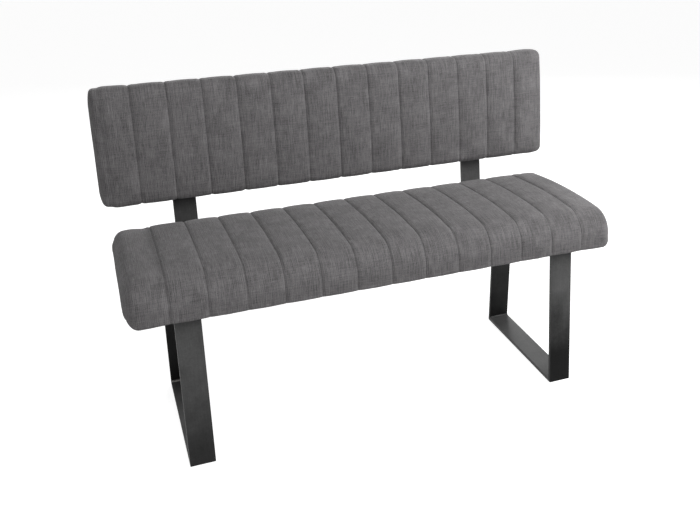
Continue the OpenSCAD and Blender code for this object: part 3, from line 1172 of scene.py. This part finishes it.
    def faces(self, rings: int, points: int) -> list[list[int]]:
        """Faces of a closed grid of rings, outwards, with one face at each end.

        Args:
            rings: the number of rings.
            points: points round each.

        Returns:
            Each face's point numbers.
        """
        ring, point = np.meshgrid(np.arange(rings - 1), np.arange(points), indexing="ij")
        after = (point + 1) % points
        quads = np.stack([ring * points + point, (ring + 1) * points + point, (ring + 1) * points + after,
                          ring * points + after], -1).reshape(-1, 4).tolist()
        last = (rings - 1) * points
        return quads + [list(range(points)), [last + k for k in range(points)][::-1]]

    def seam_distance(self, paths: np.ndarray) -> np.ndarray:
        """Distance of each column from its nearest seam."""
        return np.min(np.abs(paths[:, None] - self.seams[None]), axis=1)

    def filled(self) -> tuple[np.ndarray, np.ndarray]:
        """Fills the slack cover out by a cloth simulation whose seams and base are held.

        Returns:
            The columns' places and the movement of each point of the coarse grid.
        """
        paths = self.coarse_paths()
        rest = self.grid(paths, 1, self.pad)
        away = self.seam_distance(paths) / (self.pitch / 2)
        bow = 1 - (1 - np.clip(away, 0, 1)) ** 2
        crowned = normals(rest) * (bow[:, None] * self.sewn(paths, 1))[..., None] * self.bulge
        shift = self.simulated(paths, rest)
        calm = shift
        for _ in range(self.calming):
            calm = (np.roll(calm, 1, 1) + 2 * calm + np.roll(calm, -1, 1)) / 4
        shift = self.fullness * (calm + self.ripple * (shift - calm))
        length = np.linalg.norm(shift, axis=2, keepdims=True)
        LOG.info("%s: cloth moved %.1f mm at most, %.1f mm on average", self.name, length.max() / MM,
                 length.mean() / MM)
        shift = shift * np.minimum(1, self.cap / np.maximum(length, 1e-9))
        from_seam = np.abs(paths) - self.seams[-1]
        past = np.clip(self.firming * from_seam / (self.turned - self.seams[-1]), 0, 1)
        firm = (self.end_hold * past ** 2 * (3 - 2 * past))[:, None, None]
        return paths, shift * (1 - firm) + crowned * firm

    def simulated(self, paths: np.ndarray, rest: np.ndarray) -> np.ndarray:
        """Runs the cloth simulation.

        Args:
            paths: the columns' places.
            rest: the coarse grid of the slack cover.

        Returns:
            The movement of each of its points.
        """
        rings, points = rest.shape[:2]
        piece = mesh_object(self.name + "_slack", rest.reshape(-1, 3), self.faces(rings, points))
        held = piece.vertex_groups.new(name="held")
        weights = self.held_weights(paths).ravel()
        for index in np.flatnonzero(weights > 0.01):
            held.add([int(index)], float(weights[index]), "REPLACE")
        self.set_cloth(piece, held.name)
        scene = bpy.context.scene
        for frame in range(1, self.frames + 1):
            scene.frame_set(frame)
        evaluated = piece.evaluated_get(bpy.context.evaluated_depsgraph_get())
        moved = np.zeros(rings * points * 3)
        evaluated.data.vertices.foreach_get("co", moved)
        scene.frame_set(1)
        bpy.data.objects.remove(piece)
        return moved.reshape(rest.shape) - rest

    def held_weights(self, paths: np.ndarray) -> np.ndarray:
        """How firmly each point of the coarse grid is held: seams and base wholly, the rest not.

        Args:
            paths: the columns' places.

        Returns:
            Weights from 0 to 1, rings by points.
        """
        free = self.form.sewn_share(1)
        seam = self.seam_distance(paths) < self.pitch / self.coarse_columns / 2
        return np.maximum(seam[:, None] * free[None], (free < 0.5)[None].astype(float))

    def set_cloth(self, piece: Piece, held: str) -> None:
        """Adds the cloth modifier with its fabric's stiffness and the filling's pressure.

        Args:
            piece: the slack cover.
            held: its group of held points.
        """
        cloth = piece.modifiers.new("filling", "CLOTH")
        fabric = cloth.settings
        fabric.quality = 6
        fabric.mass = 0.3
        fabric.tension_stiffness = 20
        fabric.compression_stiffness = 20
        fabric.shear_stiffness = 8
        fabric.bending_stiffness = 0.4
        fabric.air_damping = 2
        fabric.use_pressure = True
        fabric.uniform_pressure_force = self.pressure
        fabric.shrink_min = -self.slack
        fabric.vertex_group_mass = held
        fabric.effector_weights.gravity = 0
        cloth.collision_settings.use_collision = False
        cloth.point_cache.frame_end = self.frames

    def surface(self) -> tuple[np.ndarray, np.ndarray, np.ndarray]:
        """The finished surface.

        Returns:
            Its columns' places, the points' distances round the rings, and the grid in its own frame.
        """
        coarse, moved = self.filled()
        paths = self.fine_paths()
        rest = self.grid(paths, 2, self.pad)
        step = coarse[1] - coarse[0]
        across = spline_rows(moved, (paths - coarse[0]) / step)
        around = np.swapaxes(across, 0, 1)
        around = spline_rows(np.concatenate([around, around[:3]]), np.arange(2 * len(around)) / 2)
        rest = rest + np.swapaxes(around, 0, 1)
        middle = rest[len(rest) // 2]
        steps = np.linalg.norm(np.diff(middle, axis=0), axis=1)
        along = np.concatenate([[0], np.cumsum(steps)])
        rest = rest + normals(rest) * self.relief(paths, along)[..., None]
        return paths, along, rest

    def relief(self, paths: np.ndarray, along: np.ndarray) -> np.ndarray:
        """Height of the quilting over the filled surface: shoulders, puckers, folds and soft lumps.

        Args:
            paths: the columns' places.
            along: distances round the rings.

        Returns:
            Heights, rings by points.
        """
        sewn = self.sewn(paths, 2)
        away = self.seam_distance(paths)[:, None]
        nearest = np.argmin(np.abs(paths[:, None] - self.seams[None]), axis=1)
        depth = self.seam_depths()[nearest][:, None]
        shoulder = 1 - (1 - np.clip(away / self.shoulder, 0, 1)) ** 2
        groove = np.sqrt(1 - (1 - np.clip(away / self.groove[0], 0, 1)) ** 2)
        puckers = smooth_noise(self.rng, paths, along, self.pucker_cell)
        creases = smooth_noise(self.rng, paths, along, self.crease_cell)
        lumps = smooth_noise(self.rng, paths, along, self.lump_cell)
        fade, wide = (np.exp(-away / fades) * np.clip(away / begins, 0, 1)
                      for begins, fades in (self.pucker_reach, self.crease_reach))
        height = depth * (self.rise * (shoulder - 1) + self.groove[1] * (groove - 1)) + self.lump * lumps
        height = height + self.rise + self.groove[1]
        height = height + self.pucker * (puckers * fade + self.crease_share * creases * wide)
        height = height - self.folds(paths, along) - self.valleys(paths)[:, None]
        edge = 4 * sewn * (1 - sewn)
        swell = np.clip(away / (self.pitch / 2), 0, 1) ** self.edge_roundness
        return height * sewn + self.edge_bulge * edge * swell

    def sewn(self, paths: np.ndarray, fine: int) -> np.ndarray:
        """Share of the quilting's height over a grid; over an end face the base's part rises too.

        Args:
            paths: the columns' places.
            fine: points to each coarse step.

        Returns:
            Shares from 0 to 1, rings by points.
        """
        closed = np.clip((np.abs(paths) - self.turned) / (self.reach - self.turned), 0, 1)[:, None]
        share = self.form.sewn_share(fine)[None]
        return share + (1 - share) * closed * (2 - closed)

    def seam_depths(self) -> np.ndarray:
        """How deep each seam is drawn in: all a little differently, those to the right less.

        Returns:
            One share of the full depth for each seam.
        """
        share = np.clip(self.seams / self.seams[-1], 0, 1)
        uneven = np.sin(self.seam_rhythm * np.arange(len(self.seams)) + self.seed)
        return (1 - self.eased * share) * (1 + self.seam_unevenness * uneven)

    def folds(self, paths: np.ndarray, along: np.ndarray) -> np.ndarray:
        """Depth of the short slanting folds that leave the seams where the cover turns over the front.

        Args:
            paths: the columns' places.
            along: distances round the rings.

        Returns:
            Depths, rings by points.
        """
        depth = np.zeros((len(paths), len(along)))
        middle = along[np.argmax(self.form.sewn_share(2) >= 1)] + self.form.thickness
        for seam in self.seams:
            for _ in range(self.seam_folds):
                side = self.rng.choice((-1, 1))
                start = middle + self.rng.uniform(*self.fold_start)
                length = self.rng.uniform(*self.fold_length)
                down = (start - along[None]) / length
                offset = (paths[:, None] - seam) * side - (self.fold_offset + self.fold_slant * down)
                window = np.clip(down, 0, 1) * np.clip(1 - down, 0, 1) * 4
                width = self.fold_width[0] + self.fold_width[1] * np.clip(down, 0, 1)
                strength = self.fold * self.rng.uniform(*self.fold_strength)
                depth += strength * window * np.exp(-(offset / width) ** 2)
        return depth

    def valleys(self, paths: np.ndarray) -> np.ndarray:
        """Depth of the soft upright hollows near the ends.

        Args:
            paths: the columns' places.

        Returns:
            One depth for each column.
        """
        middle = self.form.length / 2 - self.valley_inset
        left, right = self.form.valley
        hollow = left * np.exp(-((paths + middle) / self.valley_width) ** 2)
        return hollow + right * np.exp(-((paths - middle) / self.valley_width) ** 2)

    def build(self, thread: Finish, cloth: Finish) -> list[Piece]:
        """Makes the cover, its foam and its stitches.

        Args:
            thread: the stitches' finish.
            cloth: the cover's finish.

        Returns:
            The pieces.
        """
        paths, along, grid = self.surface()
        rings, points = grid.shape[:2]
        placed = self.placed(grid.reshape(-1, 3))
        cover = mesh_object(self.name + "_cover_quilted", placed, self.faces(rings, points))
        self.lay_map(cover, paths, along)
        finished(cover, cloth)
        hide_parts(self.cover_node)
        return [cover, self.foam(), self.stitches(paths, grid, thread)]

    def lay_map(self, cover: Piece, paths: np.ndarray, along: np.ndarray) -> None:
        """Gives the cover the map its weave follows: path along and round the cushion, in metres.

        Args:
            cover: the cover.
            paths: the columns' places.
            along: distances round the rings.
        """
        points = len(along)
        spots = loop_points(cover.data)
        u, v = paths[spots // points], along[spots % points]
        starts = np.zeros(len(cover.data.polygons), int)
        cover.data.polygons.foreach_get("loop_start", starts)
        totals = np.zeros(len(cover.data.polygons), int)
        cover.data.polygons.foreach_get("loop_total", totals)
        quads = starts[totals == 4][:, None] + np.arange(4)
        wraps = (spots[quads] % points).max(1) - (spots[quads] % points).min(1) > points // 2
        ends = quads[wraps]
        v[ends] = np.where(spots[ends] % points == 0, along[-1] + self.wrap_step, v[ends])
        lay_cloth_map(cover.data, np.stack([u, v], 1))

    def placed(self, points: np.ndarray) -> np.ndarray:
        """Points of the cushion's own frame in the bench's frame."""
        turn = np.array(self.place.to_3x3())
        return points @ turn.T + np.array(self.place.to_translation())

    def foam(self) -> Piece:
        """The foam block under the quilting, cut to the cushion's section.

        Returns:
            The block.
        """
        form = self.form
        ring = form.ring(self.quilt, 1)
        keep = form.sewn_share(1) >= 1
        section = np.concatenate([[[self.quilt, self.foam_base]], ring[keep][1:-1],
                                  [[form.depth - self.quilt, self.foam_base]]])
        middle = section.mean(0)
        size = section.max(0) - section.min(0)
        half = form.length / 2 - self.quilt - self.foam_end
        stations = [(step - half, trim) for step, trim in self.FOAM_ENDS]
        stations += [(-x, trim) for x, trim in stations[::-1]]
        rings = []
        for x, trim in stations:
            ring = middle + (section - middle) * (1 - 2 * trim / size)
            rings.append(np.column_stack([np.full(len(ring), x), ring]))
        grid = np.array(rings)
        block = mesh_object(self.name + "_foam_block", self.placed(grid.reshape(-1, 3)),
                            self.faces(len(grid), len(section)))
        finished(block, CushionFoam())
        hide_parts(self.foam_node)
        return block

    def stitches(self, paths: np.ndarray, grid: np.ndarray, thread: Finish) -> Piece:
        """The thread of the seams, laid in the creases.

        Args:
            paths: the columns' places.
            grid: the cover in its own frame.
            thread: the stitches' finish.

        Returns:
            The thread of all the seams.
        """
        columns = [int(np.argmin(np.abs(paths - seam))) for seam in self.seams]
        sewn = np.flatnonzero(self.form.sewn_share(2) > self.thread_from)
        raised = grid + normals(grid) * self.thread_lift
        points = np.concatenate([raised[c, sewn] for c in columns])
        count = len(sewn)
        edges = [(c * count + k, c * count + k + 1) for c in range(len(columns)) for k in range(count - 1)]
        return stitch_tool().run(self.name + "_seam_stitches", self.placed(points), edges, thread)


def normals(grid: np.ndarray) -> np.ndarray:
    """Outward normals of a closed grid of rings.

    Args:
        grid: rings by points by (x, u, v).

    Returns:
        One unit normal for each point.
    """
    along = np.gradient(grid, axis=0)
    around = (np.roll(grid, -1, axis=1) - np.roll(grid, 1, axis=1)) / 2
    out = np.cross(along, around)
    return out / np.maximum(np.linalg.norm(out, axis=2, keepdims=True), 1e-12)


@dataclass
class ClosingCloth:
    """The cloth that closes a cushion's base inside the hem, stretched flat over the board."""

    name: str
    node: str
    board_node: str
    cushion: QuiltedCushion
    finish: Finish
    seed: int
    step: float = 8 * MM
    inset: float = 0.4 * MM
    ripple: float = 0.35 * MM
    thickness: float = 1.2 * MM
    pull: Pair = (14 * MM, 60 * MM)
    margin: float = 12 * MM

    def sides(self) -> tuple[float, float, float]:
        """Half its length, and its first and last u.

        Returns:
            The three measures.
        """
        form = self.cushion.form
        half = form.length / 2 - form.end_radius - form.hem - self.inset
        first = form.first_base + form.hem + self.inset
        return half, first, form.depth - form.second_base - form.hem - self.inset

    def build(self) -> Piece:
        """Makes the cloth with faint pull lines from its edges.

        Returns:
            The cloth.
        """
        half, first, last = self.sides()
        rng = np.random.default_rng(self.seed)
        x = np.linspace(-half, half, round(2 * half / self.step) + 1)
        u = np.linspace(first, last, round((last - first) / self.step) + 1)
        pulls = smooth_noise(rng, x, u, self.pull) + smooth_noise(rng, x, u, self.pull[::-1])
        edge = np.minimum.outer(half - np.abs(x), np.minimum(u - first, last - u))
        lift = self.inset + self.ripple * (1 + 0.5 * pulls) * np.clip(edge / self.margin, 0, 1)
        grid = np.stack([np.repeat(x[:, None], len(u), 1), np.repeat(u[None], len(x), 0), lift], -1)
        i, k = np.meshgrid(np.arange(len(x) - 1), np.arange(len(u) - 1), indexing="ij")
        corner = i * len(u) + k
        faces = np.stack([corner, corner + 1, corner + len(u) + 1, corner + len(u)], -1).reshape(-1, 4)
        piece = mesh_object(self.name, self.cushion.placed(grid.reshape(-1, 3)), faces.tolist())
        lay_cloth_map(piece.data, grid.reshape(-1, 3)[loop_points(piece.data), :2])
        wall = piece.modifiers.new("thickness", "SOLIDIFY")
        wall.thickness = self.thickness
        wall.offset = -1
        finished(piece, self.finish)
        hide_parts(self.node)
        return piece

    def border(self, inward: float, lift: float) -> tuple[np.ndarray, list[tuple[int, int]]]:
        """The line round the cloth.

        Args:
            inward: its distance inside the cloth's edge.
            lift: its height inside the base.

        Returns:
            Its points in the bench's frame, and its edges.
        """
        half, first, last = self.sides()
        half, first, last = half - inward, first + inward, last - inward
        corners = ((-half, first), (half, first), (half, last), (-half, last))
        points = np.array([(x, u, lift) for x, u in corners])
        return self.cushion.placed(points), [(0, 1), (1, 2), (2, 3), (3, 0)]


@dataclass
class KeptNodes:
    """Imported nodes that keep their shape: they get their finish and, if asked for, rounded edges."""

    nodes: Mapping[str, Piece]
    names: Sequence[str]
    finish: Finish
    edge: float = 0.7 * MM
    joined: float = 0.01 * MM
    flat_angle: float = math.radians(0.5)
    sharp_angle: float = math.radians(50)

    def dress(self) -> None:
        """Gives each node the finish and rounds its edges."""
        material = self.finish.make()
        for name in self.names:
            node = self.nodes[name]
            node.data.materials.clear()
            node.data.materials.append(material)
            if self.edge:
                self.round_edges(node)

    def round_edges(self, node: Piece) -> None:
        """Joins the node's triangles into flat faces and rounds the edges between them.

        Args:
            node: the node.
        """
        weld = node.modifiers.new("joined", "WELD")
        weld.merge_threshold = self.joined
        flats = node.modifiers.new("flats", "DECIMATE")
        flats.decimate_type = "DISSOLVE"
        flats.angle_limit = self.flat_angle
        rounding = node.modifiers.new("rounded", "BEVEL")
        rounding.width = self.edge
        rounding.segments = 2
        rounding.limit_method = "ANGLE"
        rounding.angle_limit = self.sharp_angle
        rounding.harden_normals = True


@dataclass
class WeldBeads:
    """The fillet welds in the inner corners of one leg frame; each corner is its y and z."""

    side: str
    first: float
    finish: WeldSteel
    width: float = 60 * MM
    setback: float = 3 * MM
    sink: float = 0.6 * MM
    corners: Sequence[Pair] = ((-0.22724, 0.010), (0.16748, 0.010), (0.12938, 0.380), (-0.22060, 0.380))

    def build(self) -> Piece:
        """Lays the beads.

        Returns:
            The beads.
        """
        points = []
        for y, z in self.corners:
            points += [(self.first + self.setback, y, z), (self.first + self.width - self.setback, y, z)]
        edges = [(k, k + 1) for k in range(0, len(points), 2)]
        piece = weld_tool().run(self.side + "_weld_beads", np.array(points), edges, self.finish)
        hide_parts(self.side + "_welds")
        return piece


@dataclass(frozen=True)
class Lamp:
    """One soft square lamp: its place and aim in metres, its side in metres and its power in watts."""

    name: str
    place: Triple
    aim: Triple
    side: float
    power: float

    def build(self) -> None:
        """Hangs the lamp."""
        data = bpy.data.lights.new(self.name, "AREA")
        data.size = self.side
        data.energy = self.power
        lamp = added(self.name, data)
        lamp.location = self.place
        lamp.rotation_euler = (Vector(self.aim) - Vector(self.place)).to_track_quat("-Z", "Y").to_euler()


@dataclass(frozen=True)
class Studio:
    """The pale floor, the soft lights and the camera at the photograph's place."""

    floor_side: float = 24.0
    floor_drop: float = 0.5 * MM
    floor_colour: Colour = (0.55, 0.55, 0.55)
    floor_glow: float = 0.85
    sky: float = 0.165
    lamps: Sequence[Lamp] = (
        Lamp("key_light", (1.5, -0.75, 1.5), (0.1, 0, 0.55), 1.4, 32),
        Lamp("front_light", (-0.7, -2.3, 2.05), (0.1, 0, 0.5), 1.2, 30),
        Lamp("rear_light", (1.0, 2.8, 1.9), (0, 0, 0.5), 1.4, 52),
    )
    camera_place: Triple = (-0.63586, -2.2664, 1.36172)
    yaw: float = math.radians(22.784)
    pitch: float = math.radians(17.698)
    roll: float = math.radians(0.419)
    sensor: float = 36.0
    focal_pixels: float = 943.03
    middle_pixel: Pair = (470.0, 165.0)

    def build(self) -> None:
        """Makes the stage."""
        self.floor()
        self.world()
        for lamp in self.lamps:
            lamp.build()
        self.camera()

    def floor(self) -> None:
        """The floor, which the camera and the metal see as white outside the object's shadow."""
        bpy.ops.mesh.primitive_plane_add(size=self.floor_side)
        floor = bpy.context.object
        floor.name = "studio_floor"
        floor.data.transform(Matrix.Translation((0, 0, -self.floor_drop)))
        material = bpy.data.materials.new("studio_floor")
        material.use_nodes = True
        tree = NodeTree(material.node_tree)
        tree.connect(material.node_tree.nodes["Principled BSDF"], {
            "Base Color": rgba(self.floor_colour), "Roughness": 0.9, "Specular IOR Level": 0.1,
            "Emission Color": WHITE, "Emission Strength": self.seen(tree, self.floor_glow)})
        floor.data.materials.append(material)

    def seen(self, tree: NodeTree, level: float) -> Socket:
        """A level that only rays from the camera, gloss and glass see.

        Args:
            tree: the material's or the sky's tree.
            level: the level.

        Returns:
            The level's socket, nought for all other rays.
        """
        path = tree.add("ShaderNodeLightPath")
        gloss = tree.math("MAXIMUM", path.outputs["Is Glossy Ray"], path.outputs["Is Transmission Ray"])
        return tree.math("MULTIPLY", tree.math("MAXIMUM", path.outputs["Is Camera Ray"], gloss), level)

    def world(self) -> None:
        """Soft light from all round; the camera and the metal see white."""
        world = bpy.data.worlds.new("studio")
        world.use_nodes = True
        tree = NodeTree(world.node_tree)
        sky = world.node_tree.nodes["Background"]
        light = tree.math("MAXIMUM", self.seen(tree, 1.0), self.sky)
        tree.connect(sky, {"Color": WHITE, "Strength": light})
        bpy.context.scene.world = world

    def camera(self) -> None:
        """The camera with the photograph's angle and framing."""
        flat = math.cos(self.pitch)
        ahead = Vector((math.sin(self.yaw) * flat, math.cos(self.yaw) * flat, -math.sin(self.pitch)))
        level = Vector((math.cos(self.yaw), -math.sin(self.yaw), 0))
        below = ahead.cross(level)
        right = math.cos(self.roll) * level + math.sin(self.roll) * below
        down = math.cos(self.roll) * below - math.sin(self.roll) * level
        data = bpy.data.cameras.new("camera")
        data.sensor_width = self.sensor
        data.lens = self.focal_pixels / PHOTO_WIDTH * self.sensor
        data.shift_x = (PHOTO_WIDTH / 2 - self.middle_pixel[0]) / PHOTO_WIDTH
        data.shift_y = (self.middle_pixel[1] - PHOTO_HEIGHT / 2) / PHOTO_WIDTH
        camera = added("camera", data)
        turn = Matrix((right, -down, -ahead)).transposed().to_4x4()
        camera.matrix_world = Matrix.Translation(self.camera_place) @ turn
        bpy.context.scene.camera = camera


class Bench:
    """The whole bench, built from its sub-assemblies in order."""

    SEAT = CushionForm(
        length=1232 * MM, depth=454 * MM, thickness=105 * MM, first_radius=68 * MM, second_radius=28 * MM,
        first_base=10 * MM, second_base=10 * MM, end_radius=26 * MM, crest=130 * MM, first_fall=2 * MM,
        second_fall=20 * MM, end_fall=8 * MM)
    BACK = CushionForm(
        length=1256 * MM, depth=313 * MM, thickness=86 * MM, first_radius=22 * MM, second_radius=30 * MM,
        first_base=14 * MM, second_base=40 * MM, end_radius=20 * MM, crest=156.5 * MM, first_fall=5 * MM,
        second_fall=5 * MM, end_fall=5 * MM, end_crown=3 * MM, end_tuck=(8 * MM, 8 * MM),
        valley=(3.6 * MM, 1.2 * MM), squared=0.45)
    SEAT_PLACE = Matrix.Translation((0, -0.269416, 0.390))
    BACK_PLACE = Matrix.Translation((0, 0.241584, 0.524)) @ Matrix.Rotation(math.radians(87), 4, "X")
    STAPLE_LINE = (6 * MM, 0.2 * MM)
    PANEL_SEAM = (-0.5 * MM, 0.1 * MM)
    PANEL_STITCH = {"Pitch": 7 * MM, "Length": 3.4 * MM}

    def __init__(self, frame: Mapping[str, object]) -> None:
        """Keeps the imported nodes."""
        self.nodes: Mapping[str, Piece] = frame["nodes"]

    def build(self) -> None:
        """Makes every piece and dresses every node."""
        seat = QuiltedCushion("seat", "seat_cover", "seat_foam", self.SEAT, self.SEAT_PLACE, seed=7)
        back = QuiltedCushion("back", "back_cover", "back_foam", self.BACK, self.BACK_PLACE, seed=19,
                              groove=(4 * MM, 0.9 * MM), fold=0.45 * MM, edge_bulge=0.8 * MM)
        for cushion in (seat, back):
            self.report(*cushion.build(SewingThread(), QuiltedCloth()))
        self.close(seat, back)
        # Painted shade: the right frame's welds get a much lower brushed share than the left's, so they
        # come out darker.
        for side, first, brushed_and_shade in (("left", -510 * MM, 0.62), ("right", 450 * MM, 0.25)):
            self.report(WeldBeads(side, first, WeldSteel(brushed_and_shade=brushed_and_shade)).build())
        self.dress()

    def close(self, seat: QuiltedCushion, back: QuiltedCushion) -> None:
        """Closes both cushions and fixes the cloths.

        Args:
            seat: the seat.
            back: the back.
        """
        under = ClosingCloth("seat_dust_cloth", "seat_bottom_cloth", "seat_board", seat, BottomCloth(),
                             seed=3)
        rear = ClosingCloth("back_rear_panel", "back_rear_cloth", "back_board", back, QuiltedCloth(),
                            seed=4)
        self.report(under.build(), rear.build())
        staples = staple_tool().run("dust_cloth_staples", *under.border(*self.STAPLE_LINE), StapleSteel())
        stitches = stitch_tool().run("rear_panel_stitches", *rear.border(*self.PANEL_SEAM),
                                     SewingThread(), self.PANEL_STITCH)
        self.report(staples, stitches)

    def dress(self) -> None:
        """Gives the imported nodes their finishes."""
        rear = [f"{side}_{bar}" for side in ("left", "right") for bar in ("rear_leg", "top_bar")]
        fixings = [f"{place}_{kind}" for place in ("frame", "support", "back")
                   for kind in ("screws", "washers")]
        bars = (
            (["left_front_leg"], BlackenedSteel()),
            # Painted shade: the right front leg is darkened far more towards its foot than the left one.
            (["right_front_leg"], BlackenedSteel(shade_heights=(0.06, 0.30), foot_shade=0.05)),
            # Painted shade: the rear legs and top bars, under the seat, get a darker colour than the front
            # legs.
            (rear, BlackenedSteel(colour=grey(56))),
            # The runners get a little of the painted shade towards the floor.
            (["left_runner", "right_runner"], BlackenedSteel(colour=grey(84), foot_shade=0.9)),
            # Painted shade and light: the left back support is darker and the right one lighter than the
            # front legs, for how light falls on each.
            (["left_back_support"], BlackenedSteel(colour=grey(75), edges=Edges.BACK_SUPPORT)),
            (["right_back_support"], BlackenedSteel(colour=grey(97), edges=Edges.BACK_SUPPORT)),
        )
        others = (
            (fixings, ScrewSteel()),
            (["seat_tee_nuts", "back_tee_nuts"], ZincPlate()),
            (["seat_board", "back_board"], Plywood()),
        )
        works = [KeptNodes(self.nodes, names, finish) for names, finish in bars]
        works += [KeptNodes(self.nodes, names, finish, edge=0.0) for names, finish in others]
        for work in works:
            work.dress()
            LOG.info("dressed %s in %s", ", ".join(work.names), work.finish.slot)

    def report(self, *pieces: Piece) -> None:
        """Logs finished pieces and their faces."""
        for piece in pieces:
            LOG.info("made %s, %d faces", piece.name, len(piece.data.polygons))


def main() -> None:
    """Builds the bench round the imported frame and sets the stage."""
    logging.basicConfig(level=logging.INFO, format="%(message)s")
    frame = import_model()
    Studio().build()
    Bench(frame).build()
    bpy.context.scene.view_settings.view_transform = "Standard"


if __name__ == "__main__":
    main()
